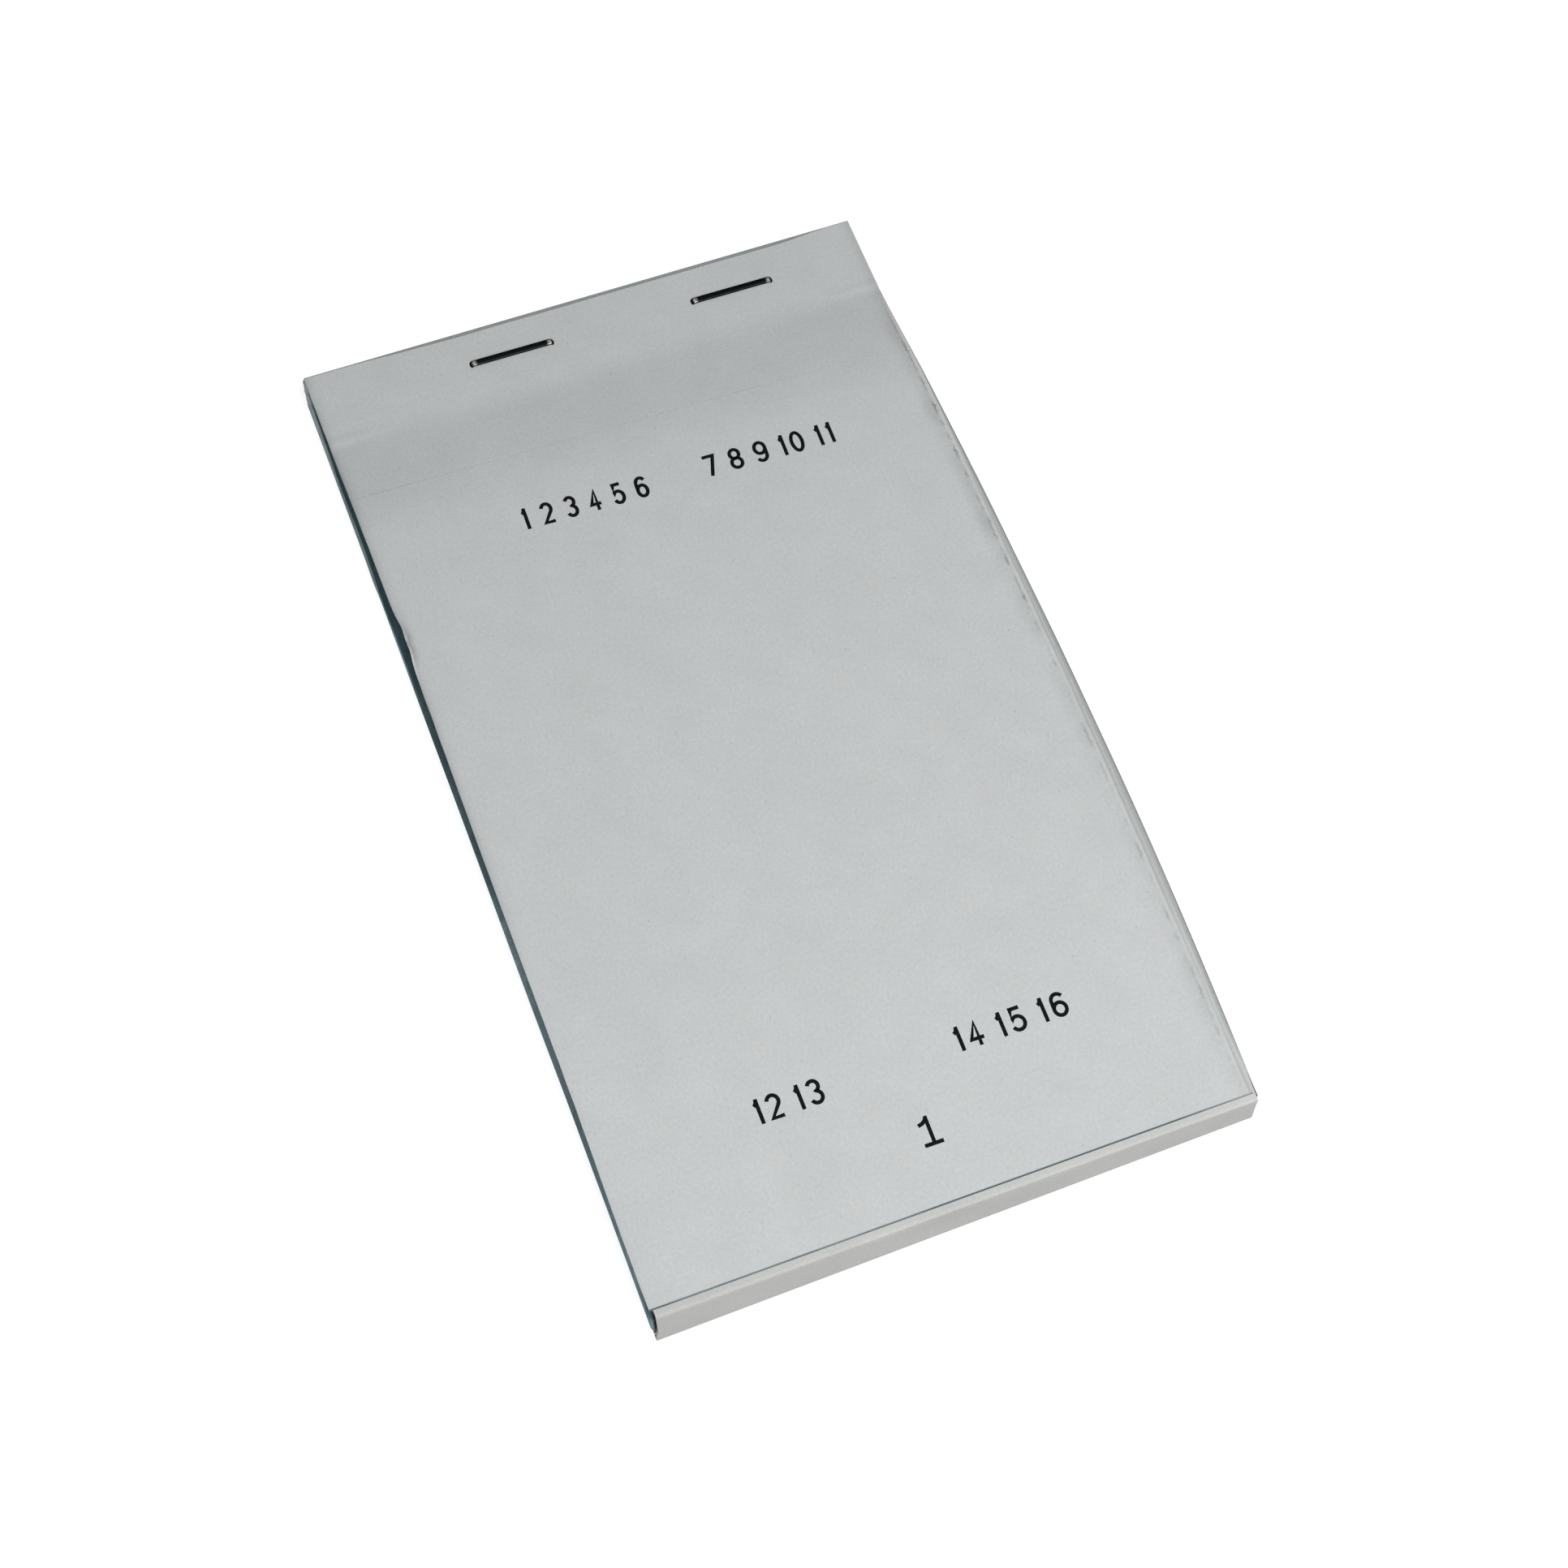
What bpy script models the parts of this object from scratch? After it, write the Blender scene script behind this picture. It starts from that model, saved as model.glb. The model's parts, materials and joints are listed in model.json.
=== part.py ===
"""Order pad: two-sheet sets stapled at the head to a card that wraps round the foot.

The card is creased twice. Its first panel is the back board, its second stands up as the fold
wall at the foot, and its third is the writing shield, tucked under the set that is being written
on. The wall leans in over the stack, and the sheets are shifted with it, so that the foot slants.
Each set tears off at a perforation below the stapled stub, cut a little out of square.

Frame: origin at the bottom centre, X across the pad, +Y towards the stapled head, +Z up.
Sizes are written in millimetres and become metres when a mesh is finished.
"""
import math

import bmesh
import bpy

MM = 0.001

# Card
PAD_WIDTH = 95.0
PAD_LENGTH = 165.0
CARD_THICKNESS = 0.40
FOLD_INNER_RADIUS = 0.30
WALL_SLANT_DEG = 12.0
SHIELD_LENGTH = 105.0

# Sheets
SHEET_WIDTH = 94.2
SHEET_THICKNESS = 0.055
SHEETS_PER_SET = 2
SET_COUNT = 50
HEAD_SETBACK = 0.25
STUB_LENGTH = 25.0
PERFORATION_SKEW_DEG = 1.2
JOG_ACROSS = 0.30
JOG_ALONG = 0.12

# Staples
WIRE_DIAMETER = 0.60
CROWN_WIDTH = 14.0
WIRE_BEND_RADIUS = 0.50
CLINCH_LENGTH = 5.0
STAPLE_FROM_HEAD = 6.5
STAPLE_LEFT_X = -14.2
STAPLE_RIGHT_X = 24.1

# Clearances
SHEET_GAP = 0.012
CREASE_GAP = 0.10
FOLD_CLEARANCE = 0.40
PERFORATION_GAP = 0.30
WIRE_CLEARANCE = 0.25
CROWN_GAP = 0.05
CLINCH_LIFT = 0.02

# Facets
HOLE_SIDES = 6
SLOT_END_STEPS = 3
BEND_STEPS = 5
WIRE_BEVEL_RESOLUTION = 2

# Colours and finish: linear RGB, roughness, metallic
PAPER_WHITE = ((0.62, 0.64, 0.63), 0.80, 0.0)
CARD_GREY = ((0.58, 0.59, 0.56), 0.85, 0.0)
STAPLE_STEEL = ((0.16, 0.17, 0.18), 0.35, 1.0)

# Heights worked out from the sizes above
SET_THICKNESS = SHEETS_PER_SET * SHEET_THICKNESS
SET_PITCH = SET_THICKNESS + SHEET_GAP
SHEET_PITCH = SHEET_THICKNESS + SHEET_GAP
STACK_Z = CARD_THICKNESS + SHEET_GAP
STACK_TOP_Z = STACK_Z + (SET_COUNT - 1) * SET_PITCH
STUB_TOP_Z = STACK_TOP_Z + SHEET_PITCH + SHEET_THICKNESS
SHIELD_TOP_Z = STACK_TOP_Z + CARD_THICKNESS
LEAF_Z = SHIELD_TOP_Z + SHEET_GAP
LEAF_TOP_Z = LEAF_Z + SHEET_PITCH + SHEET_THICKNESS
CLINCH_TOP_Z = CLINCH_LIFT + WIRE_DIAMETER

# Places along the pad
HEAD_Y = PAD_LENGTH / 2
FOOT_Y = -PAD_LENGTH / 2
PERFORATION_Y = HEAD_Y - STUB_LENGTH
STAPLE_Y = HEAD_Y - STAPLE_FROM_HEAD
STAPLE_CENTRES_X = (STAPLE_LEFT_X, STAPLE_RIGHT_X)

# The fold at the foot: bend centres, and the wall's own directions, as (Y, Z)
FOLD_OUTER_RADIUS = FOLD_INNER_RADIUS + CARD_THICKNESS
WALL_SLANT = math.radians(WALL_SLANT_DEG)
WALL_UP = (math.sin(WALL_SLANT), math.cos(WALL_SLANT))
WALL_OUT = (-math.cos(WALL_SLANT), math.sin(WALL_SLANT))
LOWER_BEND = (FOOT_Y + FOLD_OUTER_RADIUS, FOLD_OUTER_RADIUS)
UPPER_BEND_Z = SHIELD_TOP_Z - FOLD_OUTER_RADIUS
WALL_RUN = (UPPER_BEND_Z - FOLD_OUTER_RADIUS) / math.cos(WALL_SLANT)


def on_wall(run, out):
    """The point a run up the wall from the lower bend's centre, and that far out of it."""
    return (
        LOWER_BEND[0] + run * WALL_UP[0] + out * WALL_OUT[0],
        LOWER_BEND[1] + run * WALL_UP[1] + out * WALL_OUT[1],
    )


def sheet_foot_y(z):
    """Where a sheet at height z ends: inside the slanted wall, and clear of the lower bend."""
    inner_y, inner_z = on_wall(0.0, FOLD_INNER_RADIUS)
    beside_wall = inner_y + (z - inner_z) * math.tan(WALL_SLANT) + FOLD_CLEARANCE
    beside_bend = LOWER_BEND[0] + CREASE_GAP + JOG_ALONG
    return max(beside_wall, beside_bend)


UPPER_BEND = on_wall(WALL_RUN, 0.0)
WALL_END_RUN = WALL_RUN - CREASE_GAP
SHEET_LENGTH = HEAD_Y - HEAD_SETBACK - sheet_foot_y(LEAF_TOP_Z)

# Joint axes through (Y, Z): the creases run along X, the perforation is skewed
LOWER_CREASE_AXIS = (FOOT_Y, 0.0)
UPPER_CREASE_AXIS = on_wall(WALL_END_RUN, FOLD_OUTER_RADIUS - CARD_THICKNESS / 2)
PERFORATION_AXIS = (PERFORATION_Y, LEAF_TOP_Z)


def clear_scene():
    """Remove whatever the open file holds."""
    for obj in list(bpy.data.objects):
        bpy.data.objects.remove(obj, do_unlink=True)


def make_material(name, finish):
    """A Principled material of one colour, roughness and metallic value."""
    colour, roughness, metallic = finish
    material = bpy.data.materials.new(name)
    material.use_nodes = True
    shader = material.node_tree.nodes["Principled BSDF"]
    shader.inputs["Base Color"].default_value = (*colour, 1.0)
    shader.inputs["Roughness"].default_value = roughness
    shader.inputs["Metallic"].default_value = metallic
    return material


def place(obj, axis, parent):
    """Put an object's origin on its joint axis, given in pad coordinates, under its parent."""
    axis_y, axis_z = axis
    bpy.context.collection.objects.link(obj)
    obj.parent = parent
    parent_y, parent_z = parent["axis_mm"] if parent else (0.0, 0.0)
    obj.location = (0.0, (axis_y - parent_y) * MM, (axis_z - parent_z) * MM)
    obj["axis_mm"] = (axis_y, axis_z)
    return obj


def mesh_object(name, bm, finish, axis, parent):
    """Finish a bmesh drawn in pad millimetres as a named object with its own material."""
    axis_y, axis_z = axis
    bmesh.ops.recalc_face_normals(bm, faces=bm.faces)
    for vert in bm.verts:
        vert.co.y -= axis_y
        vert.co.z -= axis_z
        vert.co *= MM
    mesh = bpy.data.meshes.new(name)
    bm.to_mesh(mesh)
    bm.free()
    mesh.materials.append(make_material(name + "_finish", finish))
    return place(bpy.data.objects.new(name, mesh), axis, parent)


def draw_loop(bm, points, z):
    """Draw one closed loop of edges at height z."""
    verts = [bm.verts.new((x, y, z)) for x, y in points]
    return [bm.edges.new((verts[i - 1], verts[i])) for i in range(len(verts))]


def thicken(bm, faces, move):
    """Turn a flat face set into a closed solid by extruding it along a vector."""
    grown = bmesh.ops.extrude_face_region(bm, geom=faces)
    verts = [item for item in grown["geom"] if isinstance(item, bmesh.types.BMVert)]
    bmesh.ops.translate(bm, verts=verts, vec=move)


def plate(name, outline, openings, z, thickness, finish, axis, parent):
    """A flat sheet of one outline with openings cut through it."""
    bm = bmesh.new()
    edges = draw_loop(bm, outline, z)
    for opening in openings:
        edges += draw_loop(bm, opening, z)
    filled = bmesh.ops.triangle_fill(bm, use_beauty=True, edges=edges)
    faces = [item for item in filled["geom"] if isinstance(item, bmesh.types.BMFace)]
    thicken(bm, faces, (0.0, 0.0, thickness))
    return mesh_object(name, bm, finish, axis, parent)


def bent_panel(name, section, finish, axis, parent):
    """A card panel as wide as the pad, from its section as (Y, Z) points."""
    bm = bmesh.new()
    face = bm.faces.new([bm.verts.new((-PAD_WIDTH / 2, y, z)) for y, z in section])
    thicken(bm, [face], (PAD_WIDTH, 0.0, 0.0))
    return mesh_object(name, bm, finish, axis, parent)


def arc(centre, radius, start_deg, end_deg, steps):
    """Points of an arc from one angle to another, both ends included."""
    points = []
    for step in range(steps + 1):
        angle = math.radians(start_deg + (end_deg - start_deg) * step / steps)
        points.append((centre[0] + radius * math.cos(angle), centre[1] + radius * math.sin(angle)))
    return points


def rectangle(x_low, x_high, y_low, y_high):
    """Corners of a rectangle, in order."""
    return [(x_low, y_low), (x_high, y_low), (x_high, y_high), (x_low, y_high)]


def leg_openings(z):
    """Openings round the staples' legs in a sheet that starts at height z.

    High sheets have a hole round each leg. Those that reach down to the clinched ends have a
    slot that runs inwards along the clinch.
    """
    radius = WIRE_DIAMETER / 2 + WIRE_CLEARANCE
    openings = []
    for centre_x in STAPLE_CENTRES_X:
        for side in (-1, 1):
            leg = (centre_x + side * CROWN_WIDTH / 2, STAPLE_Y)
            if z < CLINCH_TOP_Z + CLINCH_LIFT:
                tip = (leg[0] - side * CLINCH_LENGTH, STAPLE_Y)
                near, far = sorted((leg, tip))
                slot = arc(far, radius, -90, 90, SLOT_END_STEPS)
                slot += arc(near, radius, 90, 270, SLOT_END_STEPS)
                openings.append(slot)
            else:
                hole_radius = radius / math.cos(math.pi / HOLE_SIDES)
                openings.append(arc(leg, hole_radius, 0, 360, HOLE_SIDES)[:-1])
    return openings


def make_back_board(parent):
    """First card panel: the flat back, slotted for the clinched staples."""
    board_foot_y = FOOT_Y + FOLD_OUTER_RADIUS + CREASE_GAP
    outline = rectangle(-PAD_WIDTH / 2, PAD_WIDTH / 2, board_foot_y, HEAD_Y)
    return plate("back_board", outline, leg_openings(0.0), 0.0, CARD_THICKNESS, CARD_GREY, (0.0, 0.0), parent)


def make_fold_wall(parent):
    """Second card panel: the lower bend that meets the board, and the slanted wall."""
    turn_end = 180 - WALL_SLANT_DEG
    section = arc(LOWER_BEND, FOLD_OUTER_RADIUS, 270, turn_end, BEND_STEPS)
    section += [on_wall(WALL_END_RUN, FOLD_OUTER_RADIUS), on_wall(WALL_END_RUN, FOLD_INNER_RADIUS)]
    section += arc(LOWER_BEND, FOLD_INNER_RADIUS, turn_end, 270, BEND_STEPS)
    return bent_panel("fold_wall", section, CARD_GREY, LOWER_CREASE_AXIS, parent)


def make_writing_shield(parent):
    """Third card panel: the upper bend and the flap that lies under the first set."""
    turn_start = 180 - WALL_SLANT_DEG
    tip_y = FOOT_Y + SHIELD_LENGTH
    section = arc(UPPER_BEND, FOLD_INNER_RADIUS, 90, turn_start, BEND_STEPS)
    section += arc(UPPER_BEND, FOLD_OUTER_RADIUS, turn_start, 90, BEND_STEPS)
    section += [(tip_y, SHIELD_TOP_Z), (tip_y, SHIELD_TOP_Z - CARD_THICKNESS)]
    return bent_panel("writing_shield", section, CARD_GREY, UPPER_CREASE_AXIS, parent)


def make_lower_set(number, parent):
    """One of the sets still under the shield, jogged a little from its neighbours."""
    z = STACK_Z + (SET_COUNT - number) * SET_PITCH
    jog_x = JOG_ACROSS * math.sin(2.4 * number)
    foot_y = sheet_foot_y(z) + JOG_ALONG * math.cos(1.7 * number)
    outline = rectangle(jog_x - SHEET_WIDTH / 2, jog_x + SHEET_WIDTH / 2, foot_y, foot_y + SHEET_LENGTH)
    name = f"set_{number:02d}"
    return plate(name, outline, leg_openings(z), z, SET_THICKNESS, PAPER_WHITE, (0.0, 0.0), parent)


def perforation_edge(offset):
    """Left and right ends of a torn edge that far above the perforation line."""
    rise = SHEET_WIDTH / 2 * math.tan(math.radians(PERFORATION_SKEW_DEG))
    return (
        (-SHEET_WIDTH / 2, PERFORATION_Y + offset + rise),
        (SHEET_WIDTH / 2, PERFORATION_Y + offset - rise),
    )


def make_stub(name, z, parent):
    """The stapled strip of a sheet, above its perforation."""
    left, right = perforation_edge(PERFORATION_GAP / 2)
    head_y = sheet_foot_y(LEAF_TOP_Z) + SHEET_LENGTH
    outline = [left, right, (SHEET_WIDTH / 2, head_y), (-SHEET_WIDTH / 2, head_y)]
    return plate(name, outline, leg_openings(z), z, SHEET_THICKNESS, PAPER_WHITE, (0.0, 0.0), parent)


def make_leaf(name, z, parent):
    """The part of a sheet that lifts and tears off below its perforation."""
    left, right = perforation_edge(-PERFORATION_GAP / 2)
    foot_y = sheet_foot_y(LEAF_TOP_Z)
    outline = [(-SHEET_WIDTH / 2, foot_y), (SHEET_WIDTH / 2, foot_y), right, left]
    return plate(name, outline, [], z, SHEET_THICKNESS, PAPER_WHITE, PERFORATION_AXIS, parent)


def staple_path(centre_x):
    """Centre line of a staple as (X, Z) points: clinch, leg, crown, leg, clinch."""
    crown_z = STUB_TOP_Z + CROWN_GAP + WIRE_DIAMETER / 2
    clinch_z = CLINCH_LIFT + WIRE_DIAMETER / 2
    radius = WIRE_BEND_RADIUS
    left_x = centre_x - CROWN_WIDTH / 2
    right_x = centre_x + CROWN_WIDTH / 2
    path = [(left_x + CLINCH_LENGTH, clinch_z)]
    path += arc((left_x + radius, clinch_z + radius), radius, 270, 180, BEND_STEPS)
    path += arc((left_x + radius, crown_z - radius), radius, 180, 90, BEND_STEPS)
    path += arc((right_x - radius, crown_z - radius), radius, 90, 0, BEND_STEPS)
    path += arc((right_x - radius, clinch_z + radius), radius, 360, 270, BEND_STEPS)
    path += [(right_x - CLINCH_LENGTH, clinch_z)]
    return path


def make_staple(name, centre_x, parent):
    """A wire staple through the whole stack, clinched inwards in the board's slots."""
    curve = bpy.data.curves.new(name, "CURVE")
    curve.dimensions = "3D"
    curve.bevel_depth = WIRE_DIAMETER / 2 * MM
    curve.bevel_resolution = WIRE_BEVEL_RESOLUTION
    curve.use_fill_caps = True
    path = staple_path(centre_x)
    spline = curve.splines.new("POLY")
    spline.points.add(len(path) - 1)
    for point, (x, z) in zip(spline.points, path):
        point.co = (x * MM, STAPLE_Y * MM, z * MM, 1.0)
    curve.materials.append(make_material(name + "_finish", STAPLE_STEEL))
    return place(bpy.data.objects.new(name, curve), (0.0, 0.0), parent)


def main():
    """Build the pad from the board up."""
    clear_scene()
    pad = place(bpy.data.objects.new("pad_origin", None), (0.0, 0.0), None)
    make_back_board(pad)
    fold_wall = make_fold_wall(pad)
    make_writing_shield(fold_wall)
    for number in range(SET_COUNT, 1, -1):
        make_lower_set(number, pad)
    make_stub("under_copy_stub", STACK_TOP_Z, pad)
    make_stub("top_copy_stub", STACK_TOP_Z + SHEET_PITCH, pad)
    under_copy = make_leaf("under_copy", LEAF_Z, pad)
    make_leaf("top_copy", LEAF_Z + SHEET_PITCH, under_copy)
    make_staple("staple_left", STAPLE_LEFT_X, pad)
    make_staple("staple_right", STAPLE_RIGHT_X, pad)


main()
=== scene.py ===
"""Looks of the order pad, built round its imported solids.

Lengths inside the shape functions are millimetres in the pad's own frame: X across, +Y to the stapled
head, +Z up. They become metres when a mesh is finished. Each sheet is a closed slab of paper.
"""
import json
import math

import bpy
import numpy as np
from mathutils import Matrix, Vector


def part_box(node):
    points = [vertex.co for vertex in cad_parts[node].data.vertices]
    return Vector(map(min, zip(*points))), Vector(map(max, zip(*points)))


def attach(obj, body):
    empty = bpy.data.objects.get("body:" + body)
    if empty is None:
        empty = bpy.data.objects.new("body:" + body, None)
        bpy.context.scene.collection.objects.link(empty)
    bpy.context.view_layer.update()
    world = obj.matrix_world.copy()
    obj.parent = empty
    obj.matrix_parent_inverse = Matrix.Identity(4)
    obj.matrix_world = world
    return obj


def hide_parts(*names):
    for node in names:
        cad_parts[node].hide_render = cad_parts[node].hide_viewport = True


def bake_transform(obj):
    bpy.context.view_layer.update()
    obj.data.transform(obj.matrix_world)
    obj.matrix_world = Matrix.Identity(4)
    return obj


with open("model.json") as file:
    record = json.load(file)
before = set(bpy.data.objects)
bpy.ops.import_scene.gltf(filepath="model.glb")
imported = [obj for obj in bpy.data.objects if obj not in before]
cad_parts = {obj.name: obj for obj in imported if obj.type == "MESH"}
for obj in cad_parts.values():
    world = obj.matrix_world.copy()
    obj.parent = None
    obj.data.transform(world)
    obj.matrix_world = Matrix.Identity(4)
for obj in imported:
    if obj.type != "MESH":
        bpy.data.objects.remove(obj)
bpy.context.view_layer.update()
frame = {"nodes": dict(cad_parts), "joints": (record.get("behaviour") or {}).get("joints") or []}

bl_info = {
    "name": "Order Pad",
    "version": (1, 0, 0),
    "blender": (4, 5, 0),
    "location": "3D View > Sidebar > Order Pad",
    "description": "Dresses the solids of a stapled order pad with sheets, card, wire and numbers",
    "category": "Object",
}

MM = 0.001


def node_box(node):
    """Lowest and highest corner of a solid, in millimetres."""
    low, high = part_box(node)
    return np.array(low) / MM, np.array(high) / MM


# Places of the solids, in millimetres
BOARD_HIGH = node_box("back_board")[1]
SHIELD_LOW, SHIELD_HIGH = node_box("writing_shield")
SET_NAMES = sorted(name for name in frame["nodes"] if name.startswith("set_"))
STAPLE_NAMES = ("staple_left", "staple_right")
HALF_WIDTH = float(BOARD_HIGH[0])
HEAD_Y = float(BOARD_HIGH[1])
FOOT_Y = float(node_box("fold_wall")[0][1])
CARD_THICKNESS = float(BOARD_HIGH[2])
SHIELD_TOP = float(SHIELD_HIGH[2])
STUB_TOP = float(node_box("top_copy_stub")[1][2])
LEAF_TOP = float(node_box("top_copy")[1][2])
LEAF_JOINT = next(joint for joint in frame["joints"] if joint["name"] == "under_copy_lift")
PERFORATION_Y = LEAF_JOINT["pos_m"][1] / MM
PERFORATION_SLOPE = LEAF_JOINT["axis"][1] / LEAF_JOINT["axis"][0]

# Where the lifted copies roll below the perforation: a length in millimetres
BEND_LENGTH = 5.0

# Fold of the card: its radius and slant as in the solids, then its skew, waves and hollow left end
BEND_RADIUS = 0.52
WALL_SLANT = math.radians(12.0)
FOLD_SKEW = -0.0104
FOOT_SKEW = 0.0045
WALL_WAVE = 0.06
WALL_HOLLOW = 0.36
FLAP_START = 2.0

# Rows of the fold's profile: lower bend, wall and upper bend
LOWER_ROWS = 14
WALL_ROWS = 10
UPPER_ROWS = 16
UPPER_BEND_ROW = LOWER_ROWS + WALL_ROWS + 2

# Shape of the loose sheets
PAPER = 0.055
LOWER_SHEET = PAPER - 0.004
SHEET_STEP = 0.067
CREASE_Y = 69.3
CREASE_RUN = 22.5
FOOT_RUN = 50.0
SHIELD_RUN = 30.0
FREE_START = 1.5
HILLS = 0.05
FOOT_EDGE_Y = -80.14
FOOT_EDGE_SLOPE = -0.0065
UNDER_FOOT_OUT = 0.06
COPY_OUT = 0.14
COPY_SPAN = 94.0
SHEETS_OUT = 0.22
BOW = 1.87
BOW_MIDDLE = -14.0
BOW_TO_HEAD = 81.0
BOW_TO_FOOT = 69.0
CUT_PITCH = 2.1
RIGHT_RAGGED = 0.05
LEFT_RAGGED = 0.015
LEFT_HOLLOW = 0.27
LEFT_FOOT_OUT = 0.24
CURL_REACH = 1.3
NOTCH_CURL_REACH = 0.9
CREASE_HEIGHT = 0.10
STUB_OUT = 0.12
STUB_CORNERS = 0.14
STUB_HOLLOW = 0.49

# Lower sheets: columns as shares of the width, random jogs of left, right and foot, and the foot's end with
# its painted shade
LEFT_SHARES = (0.0, 0.004, 0.007)
RIGHT_SHARES = (0.97, 0.98, 0.985, 0.99, 0.9925, 0.995, 0.9975, 1.0)
LEFT_MARGIN = 0.005
LEFT_RIM = 0.001
JOGS = (0.04, 0.12, 0.05)
SHADED_FOOT = 1.2
CORNER_BACK = 0.9
CORNER_MORE = 0.5
FOOT_GAP = 0.12
UPPERMOST_OUT = 0.28
LOWER_OUT = 0.04
HELD_LEDGE = 0.23
HEAD_LEDGE = 0.20
FOOT_LEDGE = 0.10
LOW_LEDGE = 0.20

# Tones as shares of the paper's colour, many of them painted shade and painted light; shares of pale rim,
# as painted light; and shares of dark mix, as painted shade and stained edges
LOWER_TONE = 0.97
UNDER_TONE = 0.95
SECOND_COPY_SHADE = 0.02
FOOT_SHADE = 0.9
HELD_PAINTED_LIGHT = 0.65
STRIP_SHADE = 0.13
UNDER_HEAD_SHADE = 0.42
BAND_SHADE = 0.095
STUB_SHADE = 0.015
MARGIN_SHADE = 0.12
NOTCH_PAINTED_LIGHT = 0.26
RIDGE_HIGHLIGHT = 0.14
CLOUD_TONE = 0.010
STUB_RIM = 0.4
LEAF_RIM = 0.1
HEAD_SHADOW = 0.45
UNDER_FOOT_STAIN_AND_SHADOW = 0.8

# Smooth steps along Y as (start, run, amount); a run below nothing goes towards the foot
RIGHT_EDGE_STEPS = ((71.0, -17.0, 0.39), (0.0, -75.0, -0.95), (-60.0, -20.0, -0.4))
HELD_STEPS = ((40.0, 8.0, 0.05), (63.0, 7.0, 0.22), (69.0, 9.0, 0.25), (76.0, 6.0, 0.48))
PALE_STEPS = (
    (32.0, -12.0, 0.09), (15.0, -10.0, 0.08), (-8.0, -12.0, 0.30), (-22.0, -10.0, -0.14),
    (-58.0, -14.0, 0.75),
)

# Values shared by the finishes
NOISE_MIDDLE = (0.25, 0.75)
PAPER_ROUGH = 0.72
CARD_ROUGH = 0.78
CUT_ROUGH = 0.85
INK_ROUGH = 0.8
PAPER_SPECULAR = 0.12
PAINTED_GLINT = (0.62, 0.60, 0.56)
WIRE_TINT = (0.05, 0.05, 0.05, 1.0)


class PadSheets(bpy.types.PropertyGroup):
    """Sizes of the loose sheets that a user may change."""

    swell: bpy.props.FloatProperty(
        name="Swell", description="Rise of the loose stack between the staples and the fold",
        default=0.00060, min=0.0, max=0.002, precision=5, unit="LENGTH")
    curl: bpy.props.FloatProperty(
        name="Edge curl", description="Lift of the top copy's right edge",
        default=0.00030, min=0.0, max=0.001, precision=5, unit="LENGTH")
    notch: bpy.props.FloatProperty(
        name="Worn notch", description="Depth of the worn place in the top copy's left edge",
        default=0.00038, min=0.0, max=0.002, precision=5, unit="LENGTH")
    cut_gap: bpy.props.FloatProperty(
        name="Perforation cut", description="Width of each cut of the perforation",
        default=0.000045, min=0.0, max=0.0003, precision=5, unit="LENGTH")


class PadColours(bpy.types.PropertyGroup):
    """Colours and finish values that a user may change."""

    paper: bpy.props.FloatVectorProperty(
        name="Paper", description="Face of a sheet", subtype="COLOR", size=3,
        default=(0.535, 0.549, 0.546), min=0.0, max=1.0)
    # The cut colour is partly the crushed coat's own colour and partly painted shade; the dark mix of
    # painted shade on the faces takes it too.
    cut: bpy.props.FloatVectorProperty(
        name="Cut edge", description="Edge of a coated sheet where the knife has crushed its coat",
        subtype="COLOR", size=3, default=(0.085, 0.180, 0.212), min=0.0, max=1.0)
    card: bpy.props.FloatVectorProperty(
        name="Card", description="Card of the board, the wall and the shield", subtype="COLOR", size=3,
        default=(0.520, 0.523, 0.503), min=0.0, max=1.0)
    wire: bpy.props.FloatVectorProperty(
        name="Wire", description="Dark steel of the staples", subtype="COLOR", size=3,
        default=(0.005, 0.006, 0.007), min=0.0, max=1.0)
    ink: bpy.props.FloatVectorProperty(
        name="Ink", description="Printing ink of the numbers", subtype="COLOR", size=3,
        default=(0.004, 0.005, 0.007), min=0.0, max=1.0)


class PadStage(bpy.types.PropertyGroup):
    """Light and floor that a user may change."""

    key_power: bpy.props.FloatProperty(
        name="Key light", description="Power of the large lamp at the foot's right",
        default=3.62, min=0.0, unit="POWER")
    ambient: bpy.props.FloatProperty(
        name="Ambient", description="Strength of the even light from all round", default=0.20, min=0.0)
    lens: bpy.props.FloatProperty(
        name="Lens", description="Focal length of the camera", default=64.28, min=1.0, unit="CAMERA")


def pad_sheets():
    """The user's sizes of the sheets, kept on the scene."""
    return bpy.context.scene.pad_sheets


def pad_colours():
    """The user's colours, kept on the scene."""
    return bpy.context.scene.pad_colours


def pad_stage():
    """The user's values of the stage, kept on the scene."""
    return bpy.context.scene.pad_stage


# Formulas shared by the shapes


def rise(t):
    """Smooth step: t squared times (3 - 2 t), with t held between 0 and 1."""
    t = np.clip(t, 0.0, 1.0)
    return t * t * (3.0 - 2.0 * t)


def step(place, start, run):
    """Smooth step that begins at a start and is complete a run further; a run below nothing goes back."""
    return rise((place - start) / run)


def steps(place, table):
    """Sum of smooth steps, each given as (start, run, amount)."""
    return sum(amount * step(place, start, run) for start, run, amount in table)


def hill(place, start, run):
    """Smooth hill over a run from a start: four t (1 - t), squared, with t from 0 to 1 along the run."""
    t = np.clip((place - start) / run, 0.0, 1.0)
    return (4.0 * t * (1.0 - t)) ** 2


def bell(place, middle, reach, power=2):
    """Bell round a middle: e to minus a power of the distance divided by the reach."""
    return np.exp(-((place - middle) / reach) ** power)


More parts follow.
